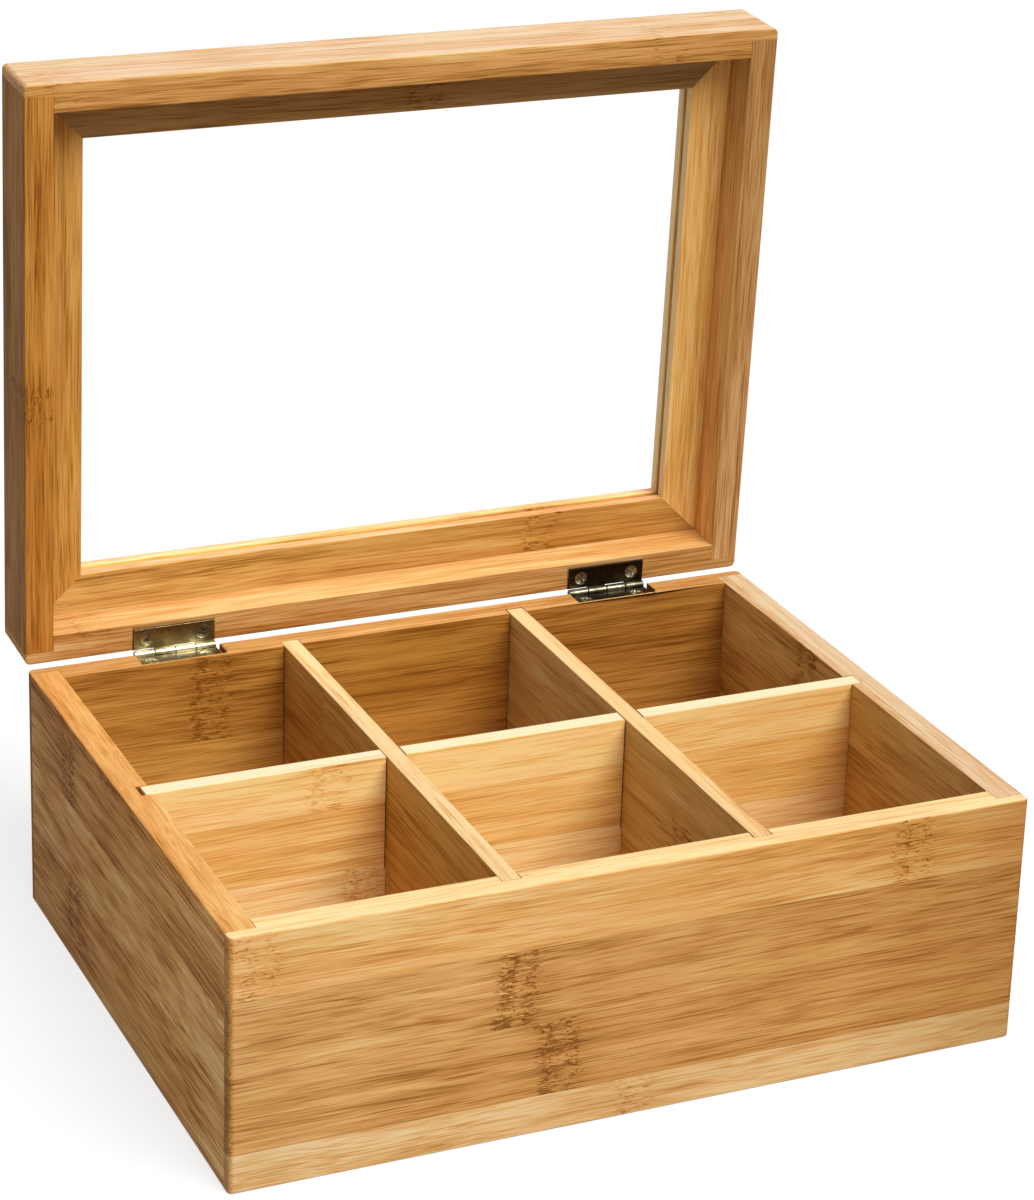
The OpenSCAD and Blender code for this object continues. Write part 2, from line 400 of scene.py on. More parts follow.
class Graph:
    """Adds nodes to a tree. Most methods return the new node's output socket.

    Attributes:
        mix_inputs: Where a Mix node takes its two colours, after its numbers and vectors.
        mix_output: Where it gives the mixture.
    """

    mix_inputs: tuple[int, int] = (6, 7)
    mix_output: int = 2

    def __init__(self, tree: Tree) -> None:
        """Takes the tree to add to."""
        self.tree = tree

    def add(self, kind: str, **settings: object) -> Node:
        """Adds a node.

        Args:
            kind: Its kind, such as Math.
            **settings: Its settings.

        Returns:
            The node.
        """
        node = self.tree.nodes.new("ShaderNode" + kind)
        for name, value in settings.items():
            setattr(node, name, value)
        return node

    def feed(self, socket: Socket, source: Feed) -> None:
        """Links a socket to another, or sets it to a plain value.

        Args:
            socket: The socket.
            source: The other socket, or the value.
        """
        if isinstance(source, Socket):
            self.tree.links.new(source, socket)
        else:
            socket.default_value = source

    def math(self, operation: str, *terms: Feed) -> Socket:
        """A calculation on one to three numbers.

        Args:
            operation: The operation.
            *terms: The numbers.

        Returns:
            The result.
        """
        node = self.add("Math", operation=operation)
        for socket, term in zip(node.inputs, terms):
            self.feed(socket, term)
        return node.outputs[0]

    def scaled(self, value: Feed, factor: Feed, offset: Feed = 0.0) -> Socket:
        """A number times another, plus a third."""
        return self.math("MULTIPLY_ADD", value, factor, offset)

    def total(self, *terms: Feed) -> Socket:
        """The sum of several numbers.

        Args:
            *terms: The numbers.

        Returns:
            Their sum.
        """
        result = terms[0]
        for term in terms[1:]:
            result = self.math("ADD", result, term)
        return result

    def sum_of(self, amounts: dict[str, float], masks: dict[str, Feed]) -> Socket:
        """The sum of several masks, each times its amount."""
        return self.total(*(self.scaled(masks[name], amount) for name, amount in amounts.items()))

    def vectors(self, operation: str, first: Feed, second: Feed) -> Socket:
        """A calculation on two vectors, number by number.

        Args:
            operation: The operation.
            first: A vector.
            second: Another vector.

        Returns:
            The resulting vector.
        """
        node = self.add("VectorMath", operation=operation)
        self.feed(node.inputs[0], first)
        self.feed(node.inputs[1], second)
        return node.outputs[0]

    def group(self, tree: Tree, given: dict[str, Feed]) -> Node:
        """Adds a node group.

        Args:
            tree: The group.
            given: What its inputs are fed with, by name.

        Returns:
            The group's node.
        """
        node = self.add("Group", node_tree=tree)
        for name, source in given.items():
            self.feed(node.inputs[name], source)
        return node

    def split(self, vector: Feed) -> list[Socket]:
        """The three numbers of a vector.

        Args:
            vector: The vector.

        Returns:
            The three sockets.
        """
        node = self.add("SeparateXYZ")
        self.feed(node.inputs[0], vector)
        return list(node.outputs)

    def join(self, x: Feed, y: Feed, z: Feed) -> Socket:
        """A vector from three numbers.

        Args:
            x: The first number.
            y: The second number.
            z: The third number.

        Returns:
            The vector.
        """
        node = self.add("CombineXYZ")
        for socket, term in zip(node.inputs, (x, y, z)):
            self.feed(socket, term)
        return node.outputs[0]

    def noise(
        self, vector: Feed, seed: Feed = 0.0, detail: float = 2.0, roughness: float = 0.55
    ) -> Socket:
        """Soft noise between 0 and 1, with a lump about as wide as one unit.

        Args:
            vector: The place.
            seed: Another seed gives another pattern.
            detail: How many finer layers are added.
            roughness: How strong each finer layer is.

        Returns:
            The noise.
        """
        node = self.add("TexNoise", noise_dimensions="4D", normalize=True)
        given = {"Vector": vector, "W": seed, "Scale": 1.0, "Detail": detail, "Roughness": roughness}
        for name, source in given.items():
            self.feed(node.inputs[name], source)
        return node.outputs[0]

    def step(self, value: Feed, low: float, high: float, start: Feed = 0.0, end: Feed = 1.0) -> Socket:
        """A smooth step.

        Args:
            value: What it follows.
            low: The value where it begins.
            high: The value where it ends.
            start: The result at its beginning.
            end: The result at its end.

        Returns:
            The result.
        """
        node = self.add("MapRange", interpolation_type="SMOOTHSTEP")
        for socket, term in zip(node.inputs, (value, low, high, start, end)):
            self.feed(socket, term)
        return node.outputs[0]

    def ramp(self, value: Feed, stops: list[tuple[float, Colour]], between: str = "LINEAR") -> Socket:
        """A colour looked up between stops.

        Args:
            value: What is looked up.
            stops: Each a place from 0 to 1 and a colour.
            between: How colours change from stop to stop.

        Returns:
            The colour.
        """
        node = self.add("ValToRGB")
        self.feed(node.inputs[0], value)
        elements = node.color_ramp.elements
        node.color_ramp.interpolation = between
        while len(elements) < len(stops):
            elements.new(1.0)
        for element, (place, colour) in zip(elements, stops):
            element.position = place
            element.color = (*colour, 1.0)
        return node.outputs[0]

    def blend(self, value: Feed, colours: tuple[Colour, ...]) -> Feed:
        """A colour that goes evenly through several.

        Args:
            value: Where it is on its way, from 0 to 1.
            colours: The colours.

        Returns:
            The colour.
        """
        if len(colours) == 1:
            return colours[0]
        last = len(colours) - 1
        return self.ramp(value, [(number / last, colour) for number, colour in enumerate(colours)])

    def mix(self, factor: Feed, first: Feed, second: Feed, blend: str = "MIX") -> Socket:
        """Two colours mixed.

        Args:
            factor: How much of the second there is.
            first: A colour.
            second: Another colour.
            blend: How they are mixed.

        Returns:
            The mixture.
        """
        node = self.add("Mix", data_type="RGBA", blend_type=blend)
        self.feed(node.inputs["Factor"], factor)
        for number, colour in zip(self.mix_inputs, (first, second)):
            self.feed(node.inputs[number], colour if isinstance(colour, Socket) else (*colour, 1.0))
        return node.outputs[self.mix_output]

    def tinted(self, colour: Feed, tint: Feed) -> Socket:
        """A colour multiplied by another."""
        return self.mix(1.0, colour, tint, "MULTIPLY")

    def bump(self, shader: Node, height: Feed, strength: float, distance: float) -> None:
        """Gives a shader its relief.

        Args:
            shader: The shader.
            height: The relief's height.
            strength: How strongly it shows, from 0 to 1.
            distance: The height of 1, in metres.
        """
        node = self.add("Bump")
        node.inputs["Strength"].default_value = strength
        node.inputs["Distance"].default_value = distance
        self.feed(node.inputs["Height"], height)
        self.feed(shader.inputs["Normal"], node.outputs[0])

    def surface(self, share: Feed, first: Node, second: Node) -> None:
        """Makes the material's surface a mixture of two shaders.

        Args:
            share: How much of the second there is.
            first: A shader.
            second: Another shader.
        """
        node = self.add("MixShader")
        for socket, source in zip(node.inputs, (share, first.outputs[0], second.outputs[0])):
            self.feed(socket, source)
        self.feed(self.tree.nodes["Material Output"].inputs["Surface"], node.outputs[0])

    def attribute(self, name: str) -> Socket:
        """A piece's own attribute, as a vector."""
        return self.add("Attribute", attribute_name=name).outputs["Vector"]

    def seen_directly(self) -> Socket:
        """Tells rays from the camera, and those that metal and glass send on, from the rest.

        Returns:
            1 for such a ray, else 0.
        """
        path = self.add("LightPath")
        both = self.math("MAXIMUM", path.outputs["Is Camera Ray"], path.outputs["Is Glossy Ray"])
        return self.math("MAXIMUM", both, path.outputs["Is Transmission Ray"])


def new_group(
    name: str, inputs: dict[str, str], outputs: dict[str, str]
) -> tuple[Graph, Sockets, Sockets]:
    """Makes a shader node group.

    Args:
        name: The group's name.
        inputs: Input names with their kinds, such as Float or Vector.
        outputs: Output names with their kinds.

    Returns:
        A graph that adds to it, the inputs' sockets and the outputs' sockets.
    """
    tree = bpy.data.node_groups.new(name, "ShaderNodeTree")
    for side, sockets in (("INPUT", inputs), ("OUTPUT", outputs)):
        for label, kind in sockets.items():
            tree.interface.new_socket(label, in_out=side, socket_type="NodeSocket" + kind)
    entry = tree.nodes.new("NodeGroupInput")
    leave = tree.nodes.new("NodeGroupOutput")
    return Graph(tree), dict(entry.outputs.items()), dict(leave.inputs.items())


def new_material(name: str) -> tuple[Material, Graph, Node]:
    """Makes a material with one Principled shader.

    Args:
        name: The material's name.

    Returns:
        The material, a graph that adds to it, and the shader's node.
    """
    material = bpy.data.materials.new(name)
    material.use_nodes = True
    shader = material.node_tree.nodes["Principled BSDF"]
    return material, Graph(material.node_tree), shader


# Finishes


@dataclass(frozen=True)
class Strip:
    """One bamboo strip of a board.

    Args:
        width: Its width in millimetres.
        tone: From 0, dark and dense, to 1, pale.
        rings: For each culm ring that crosses it, the place in millimetres from the board's
            middle and the strength from 0 to 1.
        drift: How much paler it is at the far end of its fibres.
        hue: A colour that multiplies its own.
    """

    width: float
    tone: float
    rings: tuple[tuple[float, float], ...] = ()
    drift: float = 0.0
    hue: Colour = PLAIN


@dataclass(frozen=True)
class Lumps:
    """Noise drawn out along the fibres.

    Args:
        along: Length of its lumps in millimetres.
        across: Their width.
        detail: How many finer layers are added.
        roughness: How strong each finer layer is.
    """

    along: float
    across: float
    detail: float = 0.0
    roughness: float = 0.55

    def at(self, graph: Graph, place: Feed, seed: Feed) -> Socket:
        """The noise at a place in a board."""
        size = (1 / self.along, 1 / self.across, 1 / self.across)
        return graph.noise(graph.vectors("MULTIPLY", place, size), seed, self.detail, self.roughness)


@dataclass(frozen=True)
class CulmRing:
    """A ring of the culm: two ragged columns, a little apart, in a haze along the fibres.

    Args:
        columns: Place, half width and strength of each column.
        half: Half the width of the whole ring.
        edge: How far it fades out past that.
        faint: Its strength between and beside the columns.
        halo: How far its haze runs out along the fibres.
        column_step: Where a column begins and ends to fade, in half widths.
        waves: The noises that make it ragged.
        ragged: How far they move it.
    """

    columns: tuple[tuple[float, float, float], ...] = ((-3.0, 2.4, 1.0), (3.4, 1.5, 0.8))
    half: float = 5.0
    edge: float = 2.0
    faint: float = 0.4
    halo: float = 15.0
    column_step: tuple[float, float] = (0.4, 1.5)
    waves: tuple[Lumps, ...] = (Lumps(40.0, 5.0), Lumps(40.0, 1.1, 1.0))
    ragged: float = 4.0

    def group(self) -> Tree:
        """The masks of one ring across one strip, as a node group.

        Returns:
            The group.
        """
        inputs = {
            "Grain": "Vector", "Centre": "Float", "Low": "Float", "High": "Float",
            "Seed": "Float", "Strength": "Float",
        }
        graph, given, result = new_group("culm_ring", inputs, {"Ring": "Float", "Halo": "Float"})
        along, across, _ = graph.split(given["Grain"])
        shift = graph.total(*(wave.at(graph, given["Grain"], given["Seed"]) for wave in self.waves))
        shift = graph.math("SUBTRACT", shift, 0.5 * len(self.waves))
        place = graph.math("SUBTRACT", graph.scaled(shift, self.ragged, along), given["Centre"])
        away = graph.math("ABSOLUTE", place)
        above = graph.math("GREATER_THAN", across, given["Low"])
        below = graph.math("LESS_THAN", across, given["High"])
        inside = graph.scaled(graph.scaled(above, below), given["Strength"])
        ring = graph.step(away, self.half, self.half + self.edge, self.faint, 0.0)
        for centre, half, strength in self.columns:
            off = graph.math("ABSOLUTE", graph.math("SUBTRACT", place, centre))
            low, high = (half * share for share in self.column_step)
            ring = graph.math("MAXIMUM", ring, graph.step(off, low, high, strength, 0.0))
        halo = graph.step(away, self.half, self.halo, 1.0, 0.0)
        graph.feed(result["Ring"], graph.scaled(ring, inside))
        graph.feed(result["Halo"], graph.scaled(halo, inside))
        return graph.tree


@dataclass(frozen=True)
class BambooFinish:
    """Laminated bamboo with a matt lacquer: strips, fibre streaks and the culm's rings.

    Sizes are in millimetres. A step is given by the values where it begins and ends.

    Args:
        tones: Colours from tone 0, the dense dark fibres, to tone 1, the pale pith.
        glue: Colour of the glue lines.
        glue_half: Half their width.
        glue_share: How strongly they show.
        hues: Two colours that long patches are tinted with.
        hue: The noise of those patches.
        hue_step: Where one turns into the other.
        hue_seed: Sets the patches apart from the fibres.
        sway: The noise that bends all fibres gently.
        sway_by: How far.
        kink: The noise that bends them at a ring.
        kink_by: How far.
        noises: The noises of the streaks and marks.
        steps: Where each mark begins and is full, by the mark.
        crowded: How much more lines there are where they crowd, and in a ring's haze.
        near: Ring strengths at which dashes begin and are full.
        dash_level: How much lower a dash's level is in a ring, and where they clump.
        loop_level: Middle of the noise whose rim is a loop.
        swings: How far each soft noise moves the tone, both ways.
        marks: How far each mark moves the tone.
        ends: How far end grain moves the tone.
        ply: Thickness of the plies that show on a board's edges.
        seeds: What tone and ply add to the seed.
        ply_spread: How far apart the plies' own tones are drawn.
        dents: The relief of each mark.
        relief: How strongly the relief shows.
        depth: Its depth in metres.
        roughness: Greatest and least roughness.
        gloss: Specular level of the lacquer.
    """

    tones: tuple[Colour, ...] = (
        (0.24, 0.09, 0.018),
        (0.43, 0.185, 0.045),
        (0.63, 0.315, 0.1),
        (0.77, 0.44, 0.17),
        (0.86, 0.62, 0.33),
    )
    glue: Colour = (0.30, 0.13, 0.04)
    glue_half: float = 0.16
    glue_share: float = 0.22
    hues: tuple[Colour, Colour] = ((0.99, 1.01, 0.94), (1.01, 0.975, 0.95))
    hue: Lumps = Lumps(70.0, 4.5, 1.0)
    hue_step: tuple[float, float] = (0.3, 0.7)
    hue_seed: float = 5.0
    sway: Lumps = Lumps(110.0, 26.0)
    sway_by: float = 3.0
    kink: Lumps = Lumps(3.4, 2.0, 1.0)
    kink_by: float = 2.4
    noises: dict[str, Lumps] = field(default_factory=lambda: {
        "band": Lumps(120.0, 2.6, 2.0, 0.6),
        "cloud": Lumps(45.0, 8.0, 1.0),
        "crowd": Lumps(22.0, 2.4, 1.0),
        "line": Lumps(36.0, 0.44),
        "hair": Lumps(11.0, 0.3),
        "fibre": Lumps(15.0, 0.3, 1.0, 0.7),
        "dash": Lumps(2.4, 0.42),
        "loop": Lumps(3.2, 0.9),
        "clump": Lumps(3.6, 3.0),
        "dot": Lumps(0.9, 0.7),
    })
    steps: dict[str, tuple[float, float]] = field(default_factory=lambda: {
        "lines": (0.56, 0.66),
        "hairs": (0.55, 0.66),
        "pale": (0.44, 0.32),
        "dashes": (0.68, 0.8),
        "rims": (0.07, 0.02),
        "clumps": (0.4, 0.6),
        "gleam": (0.44, 0.3),
        "dots": (0.68, 0.74),
    })
    crowded: tuple[float, float] = (0.3, 0.05)
    near: tuple[float, float] = (0.0, 0.25)
    dash_level: tuple[float, float] = (0.2, 0.2)
    loop_level: float = 0.5
    swings: dict[str, float] = field(
        default_factory=lambda: {"ply": 0.3, "band": 0.66, "cloud": 0.5, "fibre": 0.4}
    )
    marks: dict[str, float] = field(default_factory=lambda: {
        "lines": -0.2, "hairs": -0.16, "pale": 0.08, "dashes": -0.3, "loops": -0.26,
        "gleam": 0.09, "dots": -0.5, "ring": -0.05, "halo": -0.04,
    })
    ends: float = -0.3
    ply: float = 2.7
    seeds: tuple[float, float] = (61.0, 7.3)
    ply_spread: float = 3.7
    dents: dict[str, float] = field(
        default_factory=lambda: {
            "fibre": 0.4, "hairs": -0.4, "dashes": -0.8, "gleam": 0.5, "glue": -0.5,
        }
    )
    relief: float = 0.35
    depth: float = 0.12 * MM
    roughness: tuple[float, float] = (0.62, 0.48)
    gloss: float = 0.05

    def _marks(self, graph: Graph, given: Sockets, place: Feed, seed: Feed) -> Sockets:
        """The masks of a board's streaks, and of the marks of a ring.

        A mark is where noise rises over a level. The level is lower in a ring's haze for dark
        lines, and lower the stronger the ring is for dashes. A loop is the thin rim where
        noise passes its middle.

        Args:
            graph: The graph to add to.
            given: The group's inputs.
            place: The place among the bent fibres.
            seed: The fibres' seed.

        Returns:
            The masks, by name.
        """
        noise = {name: lumps.at(graph, place, seed) for name, lumps in self.noises.items()}
        ring, halo = given["Ring"], given["Halo"]

        def step(value: Feed, name: str) -> Socket:
            """A mark's own step."""
            return graph.step(value, *self.steps[name])

        more, in_halo = self.crowded
        crowded = graph.scaled(halo, in_halo, graph.scaled(noise["crowd"], more, -more / 2))
        in_ring, in_clump = self.dash_level
        level = graph.scaled(ring, in_ring, graph.scaled(noise["clump"], in_clump, -in_clump / 2))
        rim = graph.math("ABSOLUTE", graph.math("SUBTRACT", noise["loop"], self.loop_level))
        clumped = graph.scaled(ring, step(noise["clump"], "clumps"))
        dashes = step(graph.math("ADD", noise["dash"], level), "dashes")
        return noise | {
            "lines": step(graph.math("ADD", noise["line"], crowded), "lines"),
            "hairs": step(graph.math("ADD", noise["hair"], crowded), "hairs"),
            "pale": step(noise["hair"], "pale"),
            "dashes": graph.scaled(dashes, graph.step(ring, *self.near)),
            "loops": graph.scaled(step(rim, "rims"), clumped),
            "gleam": graph.scaled(step(noise["dash"], "gleam"), ring),
            "dots": graph.scaled(step(noise["dot"], "dots"), ring),
            "ring": ring,
            "halo": halo,
            "glue": given["Glue"],
        }

    def group(self) -> Tree:
        """The colour, roughness and relief of bamboo at a place in a board, as a node group.

        A tone is summed from the strip's own, the soft swings of some noises and the marks,
        and is looked up in a ramp of colours. Each strip and ply has its own fibres, because
        its tone feeds the noise's seed.

        Returns:
            The group.
        """
        inputs = {
            "Grain": "Vector", "Facing": "Vector", "Tone": "Float", "Glue": "Float",
            "Ring": "Float", "Halo": "Float", "Seed": "Float", "Edge": "Float", "Contrast": "Float",
        }
        outputs = {"Color": "Color", "Roughness": "Float", "Height": "Float"}
        graph, given, result = new_group("laminated_bamboo", inputs, outputs)
        ends, edges, broad = graph.split(given["Facing"])
        _, _, depth = graph.split(given["Grain"])
        ply = graph.math("FLOOR", graph.math("DIVIDE", depth, self.ply))
        by_tone, by_ply = self.seeds
        seed = graph.total(
            graph.scaled(given["Tone"], by_tone), given["Seed"], graph.scaled(ply, by_ply)
        )
        sway = graph.math("SUBTRACT", self.sway.at(graph, given["Grain"], seed), 0.5)
        kink = graph.math("SUBTRACT", self.kink.at(graph, given["Grain"], seed), 0.5)
        kink = graph.scaled(kink, given["Ring"])
        wander = graph.scaled(kink, self.kink_by, graph.scaled(sway, self.sway_by))
        place = graph.vectors("ADD", given["Grain"], graph.join(0.0, wander, wander))
        masks = self._marks(graph, given, place, seed)
        masks["ply"] = graph.noise(
            graph.join(graph.scaled(ply, self.ply_spread), 0.5, 0.5), given["Seed"], detail=0.0
        )
        middle = -sum(self.swings.values()) / 2
        varied = graph.total(
            graph.sum_of(self.swings, masks), graph.sum_of(self.marks, masks), middle
        )
        tone = graph.scaled(varied, given["Contrast"], given["Tone"])
        tone = graph.scaled(edges, given["Edge"], graph.scaled(ends, self.ends, tone))
        hue = self.hue.at(graph, place, graph.math("ADD", seed, self.hue_seed))
        hue = graph.mix(graph.step(hue, *self.hue_step), *self.hues)
        colour = graph.tinted(graph.blend(tone, self.tones), hue)
        glued = graph.scaled(given["Glue"], graph.scaled(broad, self.glue_share))
        graph.feed(result["Color"], graph.mix(glued, colour, self.glue))
        graph.feed(result["Roughness"], graph.step(tone, 0.0, 1.0, *self.roughness))
        graph.feed(result["Height"], graph.sum_of(self.dents, masks))
        return graph.tree


@dataclass(frozen=True)
class MetalFinish:
    """Plated metal that has dulled, and is rubbed bright in places.

    Args:
        name: The material's name.
        dull: Colour where the plating has darkened.
        bright: Colour where it is rubbed.
        wear: How much of the surface is rubbed, from 0 to 1.
        roughness: Least and greatest roughness.
        cloud: Clouds of tarnish in a metre.
        cloud_detail: How many finer layers they have.
        cloud_roughness: How strong each finer layer is.
        scratch: Scratches in a metre along each axis.
        scratch_seed: Sets them apart from the clouds.
        scratched: How much they add to the rubbing.
        rubbed: Where rubbing begins and is full on metal without wear.
        worn: How much lower both are on metal that is all worn.
        tarnished: Where roughness begins and ends to fall as tarnish rises.
        relief: How strongly the scratches show.
        depth: Their depth in metres.
    """

    name: str
    dull: Colour
    bright: Colour
    wear: float
    roughness: tuple[float, float] = (0.22, 0.42)
    cloud: Point = (170.0, 170.0, 170.0)
    cloud_detail: float = 3.0
    cloud_roughness: float = 0.6
    scratch: Point = (260.0, 2600.0, 2600.0)
    scratch_seed: float = 3.0
    scratched: float = 0.15
    rubbed: tuple[float, float] = (0.85, 1.15)
    worn: float = 0.75
    tarnished: tuple[float, float] = (0.3, 0.7)
    relief: float = 0.04
    depth: float = 0.02 * MM

    def material(self) -> Material:
        """Builds the metal from clouds of tarnish and fine scratches along the pins.

        Returns:
            The material.
        """
        material, graph, shader = new_material(self.name)
        place = graph.add("TexCoord").outputs["Object"]
        clouds = graph.vectors("MULTIPLY", place, self.cloud)
        tarnish = graph.noise(clouds, 0.0, self.cloud_detail, self.cloud_roughness)
        scratch = graph.noise(graph.vectors("MULTIPLY", place, self.scratch), self.scratch_seed)
        low, high = (level - self.worn * self.wear for level in self.rubbed)
        rubbed = graph.step(graph.scaled(scratch, self.scratched, tarnish), low, high)
        graph.feed(shader.inputs["Base Color"], graph.mix(rubbed, self.dull, self.bright))
        roughness = graph.step(tarnish, *self.tarnished, *self.roughness[::-1])
        graph.feed(shader.inputs["Roughness"], roughness)
        shader.inputs["Metallic"].default_value = 1.0
        graph.bump(shader, scratch, self.relief, self.depth)
        return material


@dataclass(frozen=True)
class GlassFinish:
    """Clear window glass that lets lamps shine through.

    Args:
        tint: Its colour.
        ior: How strongly it bends light.
    """

    tint: Colour = (0.99, 1.0, 0.995)
    ior: float = 1.3

    def material(self) -> Material:
        """Builds the glass, with a see-through stand-in for shadow rays.

        Returns:
            The material.
        """
        material, graph, shader = new_material("window_glass")
        shader.inputs["Base Color"].default_value = (*self.tint, 1.0)
        shader.inputs["Roughness"].default_value = 0.0
        shader.inputs["IOR"].default_value = self.ior
        shader.inputs["Transmission Weight"].default_value = 1.0
        clear = graph.add("BsdfTransparent")
        clear.inputs["Color"].default_value = (*self.tint, 1.0)
        graph.surface(graph.add("LightPath").outputs["Is Shadow Ray"], shader, clear)
        return material


@dataclass(frozen=True)
class Bamboo:
    """What all bamboo boards share.

    Args:
        finish: Their finish.
        rings: The node group of a culm ring.
        wood: The node group of bamboo.
    """

    finish: BambooFinish
    rings: Tree
    wood: Tree

    @classmethod
    def of(cls, finish: BambooFinish, ring: CulmRing) -> "Bamboo":
        """Makes the node groups."""
        return cls(finish, ring.group(), finish.group())


# Sub-assemblies


@dataclass(frozen=True)
class Board:
    """One bamboo board: where its fibres run, its strips, and how it is tinted.

    Args:
        node: The CAD node that it stands for.
        grain: The way its fibres run.
        strips: Its strips, from the low side up.
        tints: Colours that multiply its broad faces' own, spread evenly along its fibres.
        edge_tints: The same for its narrow edges.
        edge: How much paler its narrow edges are.
        contrast: How strongly its fibres stand out on its broad faces.
        edge_contrast: The same on its narrow edges.
    """

    node: str
    grain: Grain
    strips: tuple[Strip, ...]
    tints: tuple[Colour, ...] = (PLAIN,)
    edge_tints: tuple[Colour, ...] = (PLAIN,)
    edge: float = 0.0
    contrast: float = 1.0
    edge_contrast: float = 1.0

    def material(self, part: Part, bamboo: Bamboo, seed: float) -> Material:
        """Builds this board's bamboo.

        Args:
            part: The half of the box that the board belongs to.
            bamboo: What all boards share.
            seed: Sets the board's fibres apart from the others'.

        Returns:
            The material.
        """
        material, graph, shader = new_material(self.node + "_bamboo")
        grain, length = self._place(graph, part)
        along, across, _ = graph.split(grain)
        way = graph.scaled(along, MM / length, 0.5)
        tone, glue, hue = self._strips(graph, across, way, bamboo.finish.glue_half)
        ring, halo = self._rings(graph, grain, bamboo.rings, seed)
        facing = graph.attribute("facing")
        _, edges, _ = graph.split(facing)
        contrast = graph.scaled(edges, self.edge_contrast - self.contrast, self.contrast)
        node = graph.group(bamboo.wood, {
            "Grain": grain, "Facing": facing, "Tone": tone, "Glue": glue, "Ring": ring, "Halo": halo,
            "Seed": seed, "Edge": self.edge, "Contrast": contrast,
        })
        tint = graph.mix(edges, graph.blend(way, self.tints), graph.blend(way, self.edge_tints))
        colour = graph.tinted(graph.tinted(node.outputs["Color"], hue), tint)
        graph.feed(shader.inputs["Base Color"], colour)
        graph.feed(shader.inputs["Roughness"], node.outputs["Roughness"])
        shader.inputs["Specular IOR Level"].default_value = bamboo.finish.gloss
        graph.bump(shader, node.outputs["Height"], bamboo.finish.relief, bamboo.finish.depth)
        return material

    def _place(self, graph: Graph, part: Part) -> tuple[Socket, float]:
        """The place in the board with the lid closed, in millimetres.

        The first number runs along the fibres from the board's middle, the second across the
        strips from its low side, and the third through the board from its low face.

        Args:
            graph: The graph to add to.
            part: The half of the box that the board belongs to.

        Returns:
            The place, and the board's length along its fibres in metres.
        """
        axes = self.grain.rows()
        low, high = (axes @ Vector(corner) for corner in closed_box(self.node, part))
        middle = (low + high) / 2
        start = Vector((middle.x, min(low.y, high.y), min(low.z, high.z)))
        closing = part.closing()
        turn = axes @ closing.to_3x3()
        shift = axes @ closing.to_translation() - start
        mapping = graph.add("Mapping", vector_type="POINT")
        graph.feed(mapping.inputs["Vector"], graph.add("TexCoord").outputs["Object"])
        mapping.inputs["Scale"].default_value = (1 / MM,) * 3
        mapping.inputs["Rotation"].default_value = turn.to_euler()
        mapping.inputs["Location"].default_value = shift / MM
        return mapping.outputs[0], abs((high - low).x)

    def _strips(
        self, graph: Graph, across: Socket, way: Socket, glue_half: float
    ) -> tuple[Socket, Socket, Socket]:
        """What the strip at a place looks like.

        Args:
            graph: The graph to add to.
            across: The place across the strips, in millimetres.
            way: The place along the fibres, from 0 to 1.
            glue_half: Half the width of a glue line.

        Returns:
            The strip's tone, the mask of the glue lines, and the strip's hue.
        """
        whole = sum(strip.width for strip in self.strips)
        share = graph.math("DIVIDE", across, whole)
        tops = np.cumsum([strip.width for strip in self.strips]) / whole
        starts = [0.0, *tops[:-1]]
        colours = (
            [(strip.tone,) * 3 for strip in self.strips],
            [(strip.tone + strip.drift,) * 3 for strip in self.strips],
            [strip.hue for strip in self.strips],
        )
        near, far, hue = (graph.ramp(share, list(zip(starts, row)), "CONSTANT") for row in colours)
        half = glue_half / whole
        lines = [(0.0, BLACK)]
        for top in tops[:-1]:
            lines += [(top - half, BLACK), (top, PLAIN), (top + half, BLACK)]
        tone = graph.scaled(way, graph.math("SUBTRACT", far, near), near)
        return tone, graph.ramp(share, lines), hue

    def _rings(self, graph: Graph, grain: Socket, rings: Tree, seed: float) -> tuple[Feed, Feed]:
        """The culm rings of the board.

        Args:
            graph: The graph to add to.
            grain: The place in the board.
            rings: The node group of a culm ring.
            seed: The board's seed.

        Returns:
            The mask of all rings, and of the wider haze round them.
        """
        ring, halo = 0.0, 0.0
        low = 0.0
        for strip in self.strips:
            for place, strength in strip.rings:
                node = graph.group(rings, {
                    "Grain": grain, "Centre": place, "Low": low, "High": low + strip.width,
                    "Seed": seed + place, "Strength": strength,
                })
                ring = graph.math("MAXIMUM", ring, node.outputs["Ring"])
                halo = graph.math("MAXIMUM", halo, node.outputs["Halo"])
            low += strip.width
        return ring, halo


@dataclass
class Joinery:
    """Boards that are glued or fitted together, made and dressed the same way.

    Args:
        part: The half of the box that they belong to.
        slot: The record's material slot.
        arris: How their edges are eased.
        boards: The boards.
        seed: Sets this group's fibres apart from the others'.
        seed_step: Sets each board's fibres apart from the one before.
    """

    part: Part
    slot: str
    arris: Arris
    boards: tuple[Board, ...]
    seed: float
    seed_step: float = 17.3

    def build(self, bamboo: Bamboo, glued: list[str]) -> None:
        """Makes every board: a merged copy of its node, eased, marked and given its bamboo.

        Args:
            bamboo: What all boards share.
            glued: CAD nodes that boards of this half may be glued to.
        """
        for number, board in enumerate(self.boards):
            piece = merged_copy(board.node)
            mark_faces(piece, board.grain, self.part)
            self.arris.ease(piece, self.part, [name for name in glued if name != board.node])
            seed = self.seed + self.seed_step * number
            piece.data.materials.append(board.material(self.part, bamboo, seed))
            place_piece(piece, self.part, self.slot, board.node)


def place_piece(piece: Object, part: Part, slot: str, node: str) -> None:
    """Lets a piece ride on its body and hides the node that it stands for.

    Args:
        piece: The finished piece.
        part: The half of the box that it belongs to.
        slot: The record's material slot; not used.
        node: The CAD node.
    """
    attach(piece, part.value)
    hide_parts(node)
    log.info("%s: %d faces", piece.name, len(piece.data.polygons))


